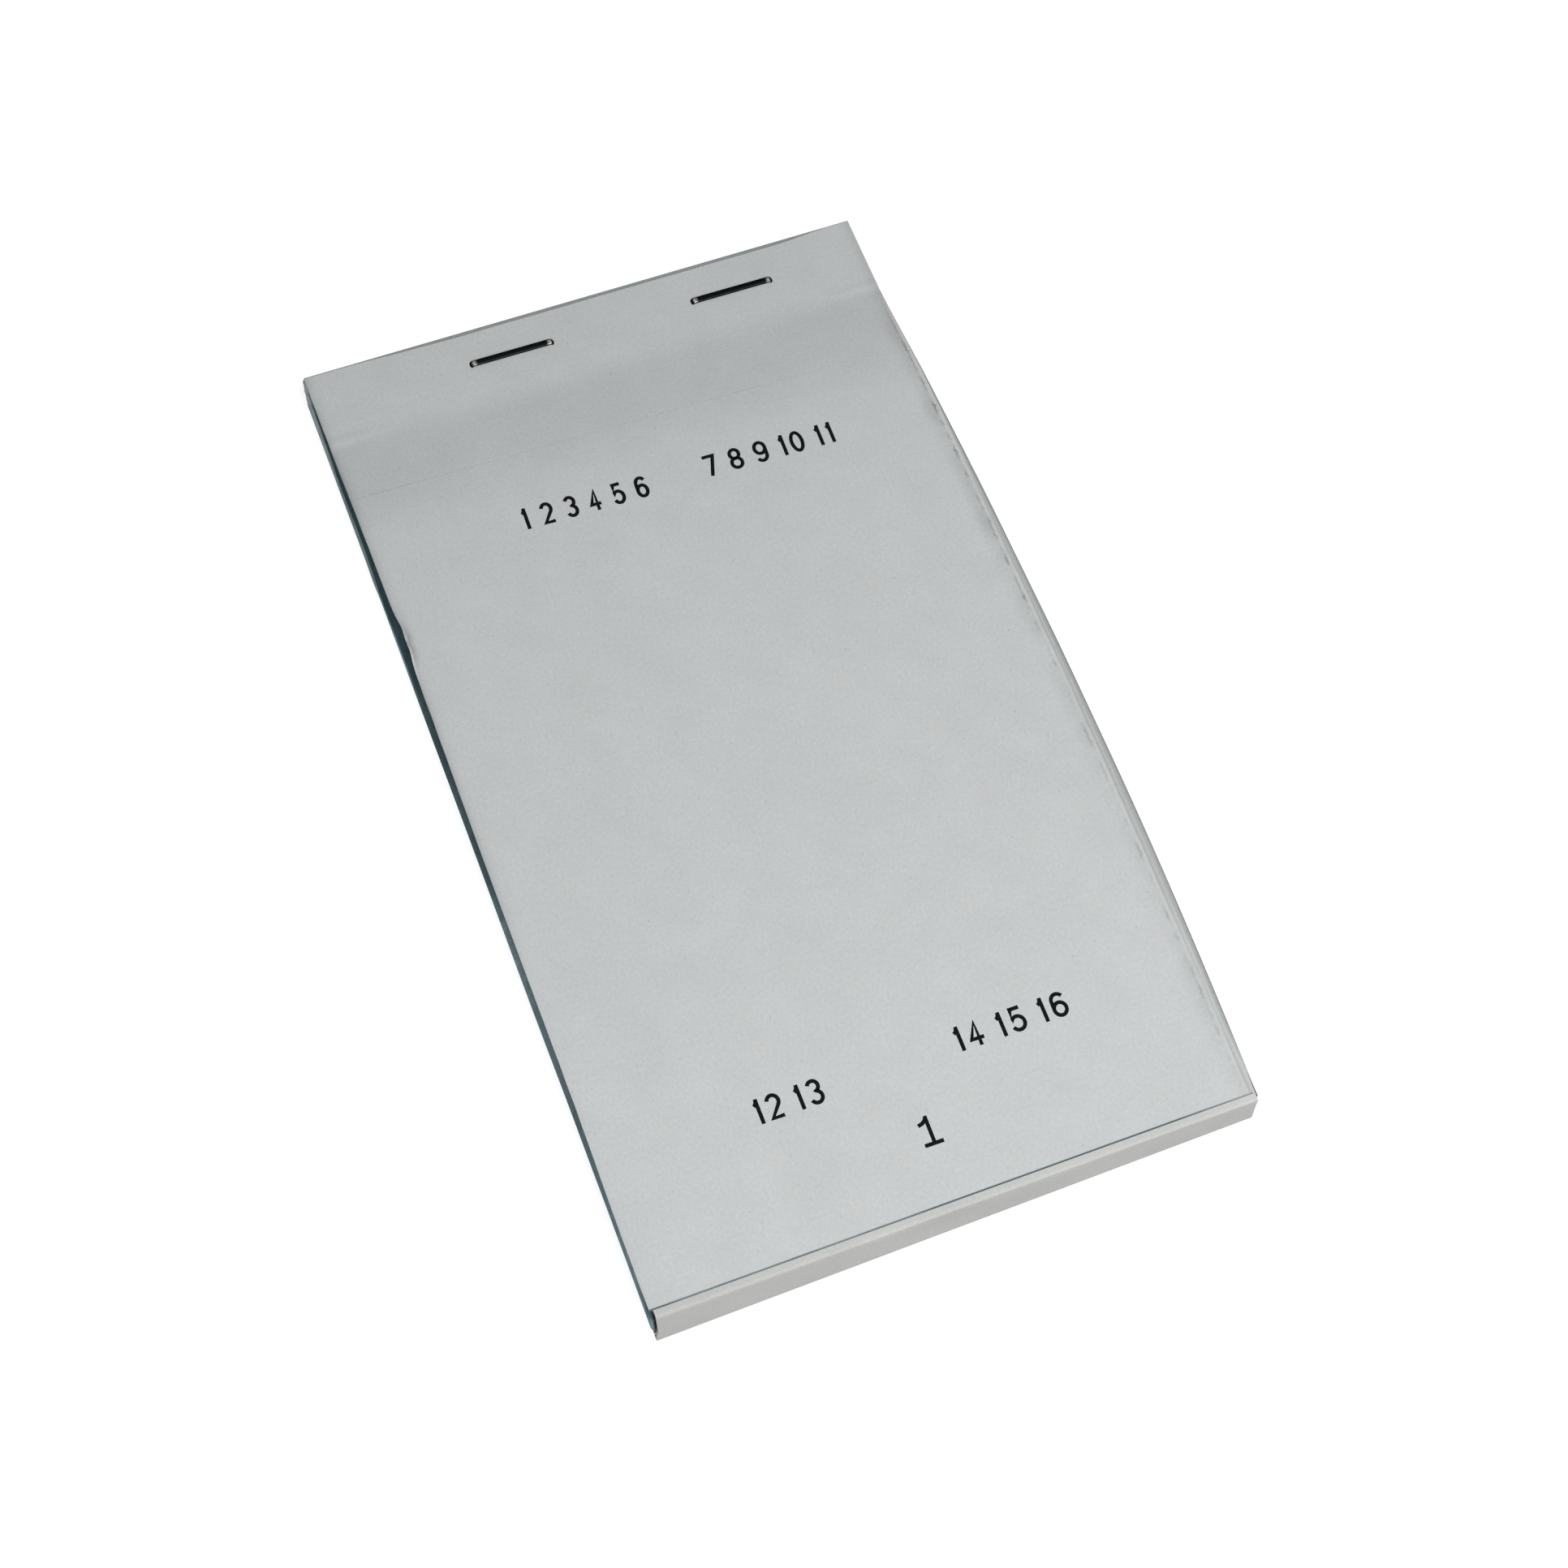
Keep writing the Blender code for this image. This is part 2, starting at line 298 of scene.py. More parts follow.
def ripple(x, y, seed, wave, parts=6):
    """Smooth uneven field between about -1 and 1: a mean of sines of seeded directions and lengths."""
    draw = np.random.default_rng(seed)
    angle = draw.uniform(0.0, 2.0 * math.pi, parts)
    turn = 2.0 * math.pi / (wave * draw.uniform(0.6, 1.7, parts))
    phase = draw.uniform(0.0, 2.0 * math.pi, parts)
    x, y = np.broadcast_arrays(np.asarray(x, float), np.asarray(y, float))
    way = np.cos(angle) * x[..., None] + np.sin(angle) * y[..., None]
    return np.sin(turn * way + phase).mean(-1) * math.sqrt(parts / 2.0)


def spread(low, high, pitch, fine):
    """Places from low to high, a pitch apart, with fine extra places inside both ends."""
    middle = np.linspace(low, high, max(2, int(round((high - low) / pitch)) + 1))
    extra = np.array(fine)
    return np.unique(np.round(np.concatenate([middle, low + extra, high - extra]), 4))


def swell(y):
    """Rise of the top of the stack: nothing under the staples and at the foot, full between them."""
    height = pad_sheets().swell / MM
    return height * step(y, CREASE_Y, -CREASE_RUN) * step(y, FOOT_Y, FOOT_RUN)


def waviness(x, y):
    """Slow hills of the whole stack, dying out at the perforation and at the fold."""
    free = step(y, PERFORATION_Y - FREE_START, -CREASE_RUN) * step(y, FOOT_Y, FOOT_RUN)
    return HILLS * ripple(x, y, seed=11, wave=34.0) * free


def fold_shift(x, z):
    """Shift along Y by which the skewed fold and the sheets inside it differ from the square solids."""
    return FOLD_SKEW * x * z / SHIELD_TOP + FOOT_SKEW * (x - HALF_WIDTH)


def bow(y):
    """Bow of the trimmed sheets to the right: two half parabolas, nothing at the crease and the foot."""
    reach = np.where(y > BOW_MIDDLE, BOW_TO_HEAD, BOW_TO_FOOT)
    return BOW * np.clip(1.0 - ((y - BOW_MIDDLE) / reach) ** 2, 0.0, 1.0)


def perforation_y(x):
    """The perforation's skewed line."""
    return PERFORATION_Y + PERFORATION_SLOPE * x


def right_edge(y):
    """Right edge of the top copy: out past the crease, drawn in towards the foot, and ragged."""
    ragged = RIGHT_RAGGED * ripple(y, 0.0, seed=21, wave=2.6) * step(y, 60.0, -20.0)
    return HALF_WIDTH + COPY_OUT + steps(y, RIGHT_EDGE_STEPS) + ragged


def left_edge(y):
    """Left edge of the top copy: hollow in the head half, out at the foot, with a worn notch."""
    depth = pad_sheets().notch / MM
    wear_and_painted_light = hill(y, 38.0, -14.0) * (1.0 + 0.35 * ripple(y, 0.0, seed=22, wave=2.4))
    straight = -HALF_WIDTH + LEFT_HOLLOW * hill(y, 86.0, -100.0) - LEFT_FOOT_OUT * step(y, -45.0, -25.0)
    return straight + depth * wear_and_painted_light + LEFT_RAGGED * ripple(y, 0.0, seed=23, wave=4.0)


def base_height(x, y):
    """Top face of the top copy without its curled edges: stub, swell, then up over the shield."""
    over_shield = (LEAF_TOP - STUB_TOP) * step(y, PERFORATION_Y, -SHIELD_RUN)
    return STUB_TOP + over_shield + swell(y) + waviness(x, y)


def edge_curl(x, y):
    """Lift of the top copy's worn edges: falls off exponentially from the right edge and the notch."""
    lift = pad_sheets().curl / MM
    right = np.exp(-np.clip(right_edge(y) - x, 0.0, None) / CURL_REACH)
    right = right * step(y, PERFORATION_Y - FREE_START, -18.0)
    right = right * (0.75 + 0.35 * ripple(y, 0.0, seed=24, wave=9.0)) * step(y, -82.0, 14.0)
    right = right * (1.0 - 0.5 * step(y, -10.0, -30.0))
    left = np.exp(-np.clip(x - left_edge(y), 0.0, None) / NOTCH_CURL_REACH) * hill(y, 39.0, -17.0)
    return lift * (right + 0.9 * left)


def crease_dent(x, y):
    """Soft crease under the staples: near both edges a small ridge with a groove on its foot side."""
    from_line = y - CREASE_Y
    ridge = bell(from_line, 0.2, 0.55) - 0.8 * bell(from_line, -1.1, 0.8)
    return CREASE_HEIGHT * ridge * step(np.abs(x), 34.0, 13.0)


def top_height(x, y):
    """Top face of the top copy."""
    return base_height(x, y) + edge_curl(x, y) + crease_dent(x, y)


# Meshes


def slab(upper, lower):
    """Points and quads of a closed slab between two grids of the same size.

    Rows and columns run so that column direction x row direction points out of the upper face. The
    rim joins the two borders, and is marked so that it can take the cut edge's finish.
    """
    rows, cols = upper.shape[:2]
    count = rows * cols
    index = np.arange(count).reshape(rows, cols)
    face = np.stack([index[:-1, :-1], index[:-1, 1:], index[1:, 1:], index[1:, :-1]], -1).reshape(-1, 4)
    border = np.concatenate([index[0, :-1], index[:-1, -1], index[-1, :0:-1], index[:0:-1, 0]])
    after = np.roll(border, -1)
    rim = np.stack([border + count, after + count, after, border], -1)
    points = np.concatenate([upper.reshape(-1, 3), lower.reshape(-1, 3)])
    quads = np.concatenate([face, face[:, ::-1] + count, rim])
    is_rim = np.repeat([0, 0, 1], [len(face), len(face), len(rim)])
    return points, quads, is_rim


def piece(name, points, faces, material_index, materials, smooth, flat_xy, values):
    """A mesh object at the origin from points in millimetres and a list of equal-sided face arrays."""
    mesh = bpy.data.meshes.new(name)
    sizes = np.concatenate([np.full(len(group), group.shape[1]) for group in faces])
    corners = np.concatenate([group.ravel() for group in faces]).astype(np.int32)
    mesh.vertices.add(len(points))
    mesh.vertices.foreach_set("co", (points * MM).astype(np.float32).ravel())
    mesh.loops.add(len(corners))
    mesh.loops.foreach_set("vertex_index", corners)
    mesh.polygons.add(len(sizes))
    mesh.polygons.foreach_set("loop_start", np.concatenate([[0], np.cumsum(sizes)[:-1]]).astype(np.int32))
    mesh.polygons.foreach_set("material_index", np.asarray(material_index, np.int32))
    mesh.polygons.foreach_set("use_smooth", np.asarray(smooth, bool))
    mesh.uv_layers.new(name="flat")
    mesh.uv_layers["flat"].uv.foreach_set("vector", (flat_xy[corners] * MM).astype(np.float32).ravel())
    for key, value in values.items():
        kept = mesh.attributes.new(key, "FLOAT", "POINT")
        kept.data.foreach_set("value", value.astype(np.float32).ravel())
    mesh.update(calc_edges=True)
    if mesh.validate(clean_customdata=False):
        raise RuntimeError(f"{name} has faulty faces")
    for material in materials:
        mesh.materials.append(material)
    obj = bpy.data.objects.new(name, mesh)
    bpy.context.scene.collection.objects.link(obj)
    return obj


def sheet_piece(name, slabs, materials, values):
    """One piece from (upper, lower) grids; faces take the first material and rims the second."""
    points, quads, rims, start = [], [], [], 0
    for upper, lower in slabs:
        p, q, r = slab(upper, lower)
        points.append(p)
        quads.append(q + start)
        rims.append(r)
        start += len(p)
    points = np.concatenate(points)
    rims = np.concatenate(rims)
    both = {}
    for key, grids in values.items():
        both[key] = np.concatenate([np.tile(np.ravel(each), 2) for each in grids])
    return piece(name, points, [np.concatenate(quads)], rims, materials, rims == 0, points[:, :2], both)


def lowered(upper, depth):
    """The grid a depth below another."""
    return upper - np.array([0.0, 0.0, depth])


def grid(x, y, z):
    """Points of a grid from its three coordinates."""
    return np.stack(np.broadcast_arrays(x, y, z), -1).astype(float)


# Finishes


class Nodes:
    """The node tree of a material or a world, with short calls for adding and linking nodes."""

    def __init__(self, owner):
        owner.use_nodes = True
        self.owner = owner
        self.tree = owner.node_tree

    def put(self, socket, value):
        """Link a socket, or set its value."""
        if isinstance(value, bpy.types.NodeSocket):
            self.tree.links.new(value, socket)
        else:
            socket.default_value = value

    def add(self, kind, options=None, *values, **inputs):
        """A node of a kind with its options, its first sockets in order and other sockets by name."""
        node = self.tree.nodes.new(kind)
        for key, value in (options or {}).items():
            setattr(node, key, value)
        for socket, value in zip(node.inputs, values):
            self.put(socket, value)
        for key, value in inputs.items():
            self.put(node.inputs[key], value)
        return node

    def math(self, operation, *values):
        """A number worked out from numbers or sockets."""
        return self.add("ShaderNodeMath", {"operation": operation}, *values).outputs[0]

    def times(self, first, *others):
        """The product of numbers or sockets."""
        for other in others:
            first = self.math("MULTIPLY", first, other)
        return first

    def place(self, kind, scale):
        """Coordinates of a kind, in millimetres times a scale of one number or three."""
        coordinates = self.add("ShaderNodeTexCoord").outputs[kind]
        per_metre = (np.broadcast_to(scale, 3) / MM).tolist()
        return self.add("ShaderNodeMapping", None, Vector=coordinates, Scale=per_metre).outputs["Vector"]

    def flat(self, scale):
        """The piece's own flat coordinates."""
        return self.place("UV", scale)

    def solid(self, scale):
        """Object coordinates."""
        return self.place("Object", scale)

    def ranged(self, value, low, high, to_low, to_high, kind="LINEAR"):
        """A number carried from one range into another, and held there."""
        ends = low, high, to_low, to_high
        return self.add("ShaderNodeMapRange", {"interpolation_type": kind}, value, *ends).outputs["Result"]

    def noise(self, vector, detail, low, high):
        """Noise with its middle range spread between two values."""
        noise = self.add("ShaderNodeTexNoise", None, Vector=vector, Scale=1.0, Detail=detail)
        return self.ranged(noise.outputs["Fac"], *NOISE_MIDDLE, low, high)

    def ramp(self, value, low, high):
        """Smooth step from nothing at low to one at high; low may be the greater of the two."""
        ends = min(low, high), max(low, high)
        return self.ranged(value, *ends, float(low > high), float(low < high), "SMOOTHSTEP")

    def flecks(self, vector, radius, share):
        """Soft dots of a radius, in a share of the cells of a random net."""
        cells = self.add("ShaderNodeTexVoronoi", {"voronoi_dimensions": "2D"}, Vector=vector, Scale=1.0)
        dot = self.ramp(cells.outputs["Distance"], radius, 0.3 * radius)
        return self.times(dot, self.math("LESS_THAN", cells.outputs["Color"], share))

    def value(self, name):
        """A number kept on the mesh."""
        return self.add("ShaderNodeAttribute", {"attribute_name": name}).outputs["Fac"]

    def tone(self, colour, factor):
        """A colour times a number."""
        colour = colour if isinstance(colour, bpy.types.NodeSocket) else tuple(colour)
        scaled = self.add("ShaderNodeVectorMath", {"operation": "SCALE"}, colour, Scale=factor)
        return scaled.outputs["Vector"]

    def mix(self, factor, *colours):
        """One colour going over to another."""
        first, second = (
            each if isinstance(each, bpy.types.NodeSocket) else (*each, 1.0) for each in colours)
        mixed = self.add("ShaderNodeMix", {"data_type": "RGBA"}, Factor=factor, A=first, B=second)
        return mixed.outputs["Result"]

    def seen(self):
        """One for rays that show the stage itself: camera, glossy and transmission rays."""
        rays = self.add("ShaderNodeLightPath").outputs
        shown = self.math("MAXIMUM", rays["Is Camera Ray"], rays["Is Glossy Ray"])
        return self.math("MAXIMUM", shown, rays["Is Transmission Ray"])

    def bump(self, height, distance, strength):
        """Relief from a height between 0 and 1, with its depth in millimetres."""
        bumped = self.add("ShaderNodeBump", None, Height=height, Distance=distance * MM, Strength=strength)
        self.finish(Normal=bumped.outputs["Normal"])

    def finish(self, **sockets):
        """Set the shader's own sockets and give the material back."""
        shader = self.tree.nodes["Principled BSDF"]
        for key, value in sockets.items():
            self.put(shader.inputs[key.replace("_", " ")], value)
        return self.owner


def tinted(colour, parts):
    """A colour with its red, green and blue times three numbers."""
    return tuple(each * part for each, part in zip(colour, parts))


def finish(name, make):
    """A finish by its name, made once."""
    return bpy.data.materials.get(name) or make(name)


def paper_face(name):
    """Paper: cloudy formation, fine grain, flecks, the sheet's tone with its painted shade and light, and
    its ragged right margin.

    The margin is the distance from the right edge in millimetres. Where that edge shows wear and curls up,
    the margin shows a ragged pale ridge of painted highlight, short dark nicks of painted shade beside it
    and a soft uneven painted shadow further in. A coat tints the sheet bluish to greenish, partly its own
    tint and partly the blue of painted shade. A dark mix darkens it, as painted shade and as the colour of
    crushed edges. Both are mottled.
    """
    colours = pad_colours()
    n = Nodes(bpy.data.materials.new(name))
    cloud = n.noise(n.flat(0.22), 5.0, 0.98, 1.02)
    grain = n.noise(n.flat(1.9), 3.0, 0.935, 1.065)
    warm = n.noise(n.flat(0.7), 3.0, 0.0, 1.0)
    fibre = n.noise(n.flat((1.2, 7.0, 1.0)), 2.0, 0.0, 1.0)
    cool = tinted(colours.paper, (0.982, 1.0, 1.012))
    rosy = tinted(colours.paper, (1.015, 1.0, 0.988))
    cream = tinted(colours.paper, (1.05, 1.045, 0.99))
    dull = tinted(colours.paper, (0.25, 0.25, 0.25))
    bluish = tinted(colours.paper, (0.97, 1.21, 1.36))
    greenish = tinted(colours.paper, (0.86, 1.22, 1.25))
    tone = n.times(cloud, grain, n.value("tone"))
    face = n.tone(n.mix(warm, cool, rosy), tone)
    # right margin with wear and curl: painted shade as dark nicks and a soft shadow, painted highlight as a
    # pale ridge
    wear_and_painted_light = n.value("wear_and_painted_light")
    ragged = n.noise(n.flat((0.8, 1.7, 1.0)), 4.0, -0.20, 0.20)
    margin = n.math("ADD", n.value("margin"), ragged)
    nick_shade = n.times(n.ramp(margin, 1.05, 0.75), n.ramp(margin, 0.42, 0.58))
    nick_shade = n.times(nick_shade, n.noise(n.flat((0.1, 0.42, 1.0)), 2.0, -0.55, 1.0), 0.68)
    soft = n.times(n.ramp(margin, 3.4, 0.9), n.noise(n.flat((0.1, 0.13, 1.0)), 3.0, 0.0, 1.0), 0.31)
    dark = n.math("ADD", n.math("MAXIMUM", nick_shade, 0.0), soft)
    face = n.mix(n.times(dark, wear_and_painted_light), face, dull)
    broken = n.noise(n.flat((0.3, 0.55, 1.0)), 3.0, 0.15, 1.0)
    face = n.mix(n.times(n.ramp(margin, 0.62, 0.38), wear_and_painted_light, broken), face, cream)
    # flecks; the coat's tint, partly the blue of painted shade; and the dark mix of painted shade and
    # stained edges
    fleck = n.flecks(n.flat(0.15), 0.024, 0.5)
    face = n.mix(n.times(fleck, 0.35), face, dull)
    coat = n.value("coat")
    coated = n.mix(n.noise(n.flat(0.1), 2.0, 0.0, 1.0), bluish, greenish)
    mottle = n.noise(n.flat((0.6, 0.5, 1.0)), 4.0, 0.78, 1.22)
    face = n.mix(coat, face, n.tone(coated, n.times(tone, mottle)))
    depth = n.math("MULTIPLY_ADD", coat, 0.33, 0.42)
    face = n.mix(n.value("stain_and_shade"), face, n.tone(colours.cut, n.times(depth, mottle)))
    n.bump(n.math("ADD", fibre, grain), 0.012, 0.35)
    rough = n.times(grain, PAPER_ROUGH)
    return n.finish(Base_Color=face, Roughness=rough, Specular_IOR_Level=PAPER_SPECULAR)


def paper_cut(name):
    """Cut edge of a coated sheet: dark with painted shade where the sheets stand apart, and patchy and pale
    with painted light where they lie tight together.
    """
    colours = pad_colours()
    n = Nodes(bpy.data.materials.new(name))
    # dark rim: the coat's crushed edge colour, deepened as painted shade
    along = n.noise(n.flat(0.05), 3.0, 0.75, 1.25)
    fine = n.noise(n.solid((1.5, 1.5, 6.0)), 2.0, 0.75, 1.25)
    dark = n.tone(colours.cut, n.times(along, fine, n.value("tone")))
    patchy = n.noise(n.flat(0.35), 3.0, 1.35, 1.90)
    # pale rim, brighter than the paper itself: painted light
    pale = n.tone(tinted(colours.paper, (0.80, 1.0, 1.05)), n.times(fine, patchy))
    n.bump(fine, 0.02, 0.5)
    rim = n.mix(n.value("rim"), dark, pale)
    return n.finish(Base_Color=rim, Roughness=CUT_ROUGH, Specular_IOR_Level=0.03)


def card_face(name, own_flat):
    """Grey card: soft cloud, fine flecks of pulp and a faint felt relief."""
    n = Nodes(bpy.data.materials.new(name))
    place = n.flat if own_flat else n.solid
    cloud = n.noise(place(0.07), 4.0, 0.95, 1.04)
    grain = n.noise(place(1.8), 4.0, 0.94, 1.06)
    fleck = n.noise(place(0.9), 1.0, 0.0, 1.0)
    tone = n.times(cloud, grain, n.value("tone")) if own_flat else n.times(cloud, grain)
    n.bump(n.math("ADD", grain, n.times(fleck, 0.4)), 0.02, 0.4)
    colour = n.tone(pad_colours().card, tone)
    rough = n.times(grain, CARD_ROUGH)
    return n.finish(Base_Color=colour, Roughness=rough, Specular_IOR_Level=PAPER_SPECULAR)


def wire_face(name):
    """Dark drawn steel with painted glints at its bends and a faint painted reflection along its foot side,
    and fine lines along the wire.
    """
    n = Nodes(bpy.data.materials.new(name))
    lines = n.noise(n.solid((0.5, 9.0, 9.0)), 3.0, 0.6, 1.5)
    # painted glints and reflection, mixed in as bright steel
    wear_and_painted_light = n.times(n.value("wear_and_painted_light"), n.noise(n.solid(3.0), 2.0, 0.3, 1.1))
    colour = n.mix(wear_and_painted_light, n.tone(pad_colours().wire, lines), PAINTED_GLINT)
    rough = n.noise(n.solid(2.0), 2.0, 0.24, 0.42)
    n.bump(lines, 0.006, 0.4)
    return n.finish(Base_Color=colour, Metallic=1.0, Roughness=rough, Specular_Tint=WIRE_TINT)


def ink_face(name):
    """Printing ink with small uneven places."""
    n = Nodes(bpy.data.materials.new(name))
    patch = n.noise(n.solid(2.2), 4.0, 0.6, 2.2)
    n.bump(patch, 0.004, 0.3)
    colour = n.tone(pad_colours().ink, patch)
    return n.finish(Base_Color=colour, Roughness=INK_ROUGH, Specular_IOR_Level=0.04)


def sheet_finishes():
    """Face and cut edge of the sheets."""
    return [finish("sheet_paper", paper_face), finish("sheet_cut_edge", paper_cut)]


# Operators, one for each piece or group of like pieces


class PAD_OT_board(bpy.types.Operator):
    """Give the back board's solid its card finish"""

    bl_idname = "pad.board"
    bl_label = "Back board"

    def execute(self, context):
        board = frame["nodes"]["back_board"]
        board.data.materials.clear()
        board.data.materials.append(finish("board_card", lambda name: card_face(name, False)))
        return {"FINISHED"}


def fold_profile(side):
    """Places along the card's fold as (Y, Z): a side of 0 is outside, 1 inside.

    The line runs in along the board, round the lower bend, up the slanted wall, round the upper bend
    and along the shield. Both sides share their bend centres, so the card keeps its thickness.
    """
    radius = BEND_RADIUS - side * CARD_THICKNESS
    up = np.array([math.sin(WALL_SLANT), math.cos(WALL_SLANT)])
    lower = np.array([FOOT_Y + BEND_RADIUS, BEND_RADIUS])
    run = (SHIELD_TOP - 2.0 * BEND_RADIUS) / math.cos(WALL_SLANT)
    upper = lower + run * up
    turn = np.linspace(math.radians(270.0), math.pi - WALL_SLANT, LOWER_ROWS)
    lower_arc = lower + radius * np.stack([np.cos(turn), np.sin(turn)], -1)
    turn = np.linspace(math.pi - WALL_SLANT, math.radians(90.0), UPPER_ROWS)
    upper_arc = upper + radius * np.stack([np.cos(turn), np.sin(turn)], -1)
    share = np.linspace(0.0, 1.0, WALL_ROWS + 2)[1:-1, None]
    wall = lower_arc[-1] * (1.0 - share) + upper_arc[0] * share
    tip_y = float(SHIELD_HIGH[1])
    flap_y = spread(float(upper[0]), tip_y, 2.5, (0.3, 0.8, 1.6))[1:]
    flap = np.stack([flap_y, np.full(len(flap_y), upper_arc[-1][1])], -1)
    lead = lower_arc[:1] + np.array([[0.1, 0.0]])
    return np.concatenate([lead, lower_arc, wall, upper_arc, flap])


class PAD_OT_wrap(bpy.types.Operator):
    """Make the card that wraps the foot: bend, slanted wall, bend and writing shield"""

    bl_idname = "pad.wrap"
    bl_label = "Fold wall and writing shield"

    def shape(self, line, x):
        """One face of the card: the fold's profile carried across the pad.

        The wall is skewed, a little wavy and hollow at its left end. The shield follows the stack's swell
        and the skew. The first row lies against the board, so its left end keeps the board's line.
        """
        y, z = line[:, :1], line[:, 1:]
        wavy = WALL_WAVE * ripple(x, z * 3.0, seed=31, wave=30.0) * hill(z, 0.0, SHIELD_TOP)
        wavy = wavy * (y < FOOT_Y + 2.2)
        over = (y > FOOT_Y + FLAP_START) * (swell(y) + waviness(x, y))
        aside = FOLD_SKEW * np.clip(FOOT_Y + FLAP_START - y, None, 0.0)
        hollow = WALL_HOLLOW * step(z, 1.3, 1.8) * step(y, FOOT_Y + 4.5, -2.5)
        aside = aside + hollow * np.exp(-(x + HALF_WIDTH) / 1.2)
        first_row = (np.arange(len(line)) == 0)[:, None]
        shift = fold_shift(x, z) * (1.0 - first_row * step(x, -38.0, -6.0))
        return grid(x + aside, y + shift + wavy, z + over)

    def execute(self, context):
        x = spread(-HALF_WIDTH, HALF_WIDTH, 1.5, (0.05, 0.2, 0.5))
        outer, inner = fold_profile(0), fold_profile(1)
        points, quads, rims = slab(self.shape(outer, x), self.shape(inner, x))
        run = np.concatenate([[0.0], np.cumsum(np.hypot(*np.diff(outer, axis=0).T))])[:, None]
        flat = np.tile(grid(x, run, 0.0)[..., :2].reshape(-1, 2), (2, 1))
        # tone: a little paler and uneven along the upper bend, and brighter towards the right as painted
        # light
        bend = bell(outer[:, :1], outer[UPPER_BEND_ROW, 0], 0.55) * (outer[:, 1:] > 5.5)
        tone = 1.0 + (0.02 + 0.03 * ripple(x, run, seed=32, wave=12.0)) * bend + 0.03 * x / HALF_WIDTH
        tones = {"tone": np.tile(tone.ravel(), 2)}
        card = finish("wrap_card", lambda name: card_face(name, True))
        wrap = piece("wrap_card", points, [quads], 0 * rims, [card], rims == 0, flat, tones)
        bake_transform(wrap)
        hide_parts("fold_wall", "writing_shield")
        return {"FINISHED"}


def near_staples(y):
    """One from the crease to the head, falling to nothing just above the perforation."""
    return step(y, 62.0, 8.0)


def held(y, level):
    """How firmly the staples hold a sheet: those in the stack's lowest share, which grows to the head."""
    soft = 0.06 + 0.12 * near_staples(y)
    return rise((steps(y, HELD_STEPS) - level) / soft + 0.5) * step(y, 40.0, 8.0)


def rim_light(y, level):
    """How pale a cut edge is: painted light against the painted shade of the dark cut colour.

    Edges are pale where the staples hold the sheets and on the lowest sheets of the head half. Towards the
    foot all of them grow paler and more uneven.
    """
    uneven = 0.07 * ripple(y, 0.0, seed=44, wave=14.0) * step(y, 0.0, -20.0)
    more = step(y, 44.0, 10.0)
    lowest = (0.55 + 0.35 * more) * rise((0.14 + 0.06 * more - level) / 0.08) * step(y, 22.0, 8.0)
    return np.maximum(0.9 * held(y, level), lowest) + steps(y, PALE_STEPS) + uneven


def lower_edges(y, level, seed, jog_left, jog_right):
    """Left and right edge of a lower sheet: bowed the more the higher it lies, jogged and a little wavy.

    The left edge stands out as a ledge where the staples hold the sheet, near the foot, and low in the
    stack between them.
    """
    shift = bow(y) * rise((level + 0.1) / 0.8)
    draw_in = shift * (0.15 + 0.85 * step(y, -40.0, 50.0))
    near_head = near_staples(y)
    ledge = (HELD_LEDGE + HEAD_LEDGE * near_head) * held(y, level)
    ledge = ledge - 0.03 * step(y, 40.0, 14.0) - HEAD_LEDGE * near_head + FOOT_LEDGE * step(y, -30.0, -30.0)
    ledge = ledge + LOW_LEDGE * rise((0.22 - level) / 0.1) * step(y, 52.0, -12.0) * step(y, -50.0, 25.0)
    left = -HALF_WIDTH - LOWER_OUT + draw_in - ledge + jog_left + 0.03 * ripple(y, 0.0, seed, 30.0)
    right = HALF_WIDTH + SHEETS_OUT + shift - 0.4 * abs(jog_right) + 0.02 * ripple(y, 0.0, seed + 1, 30.0)
    return left, right


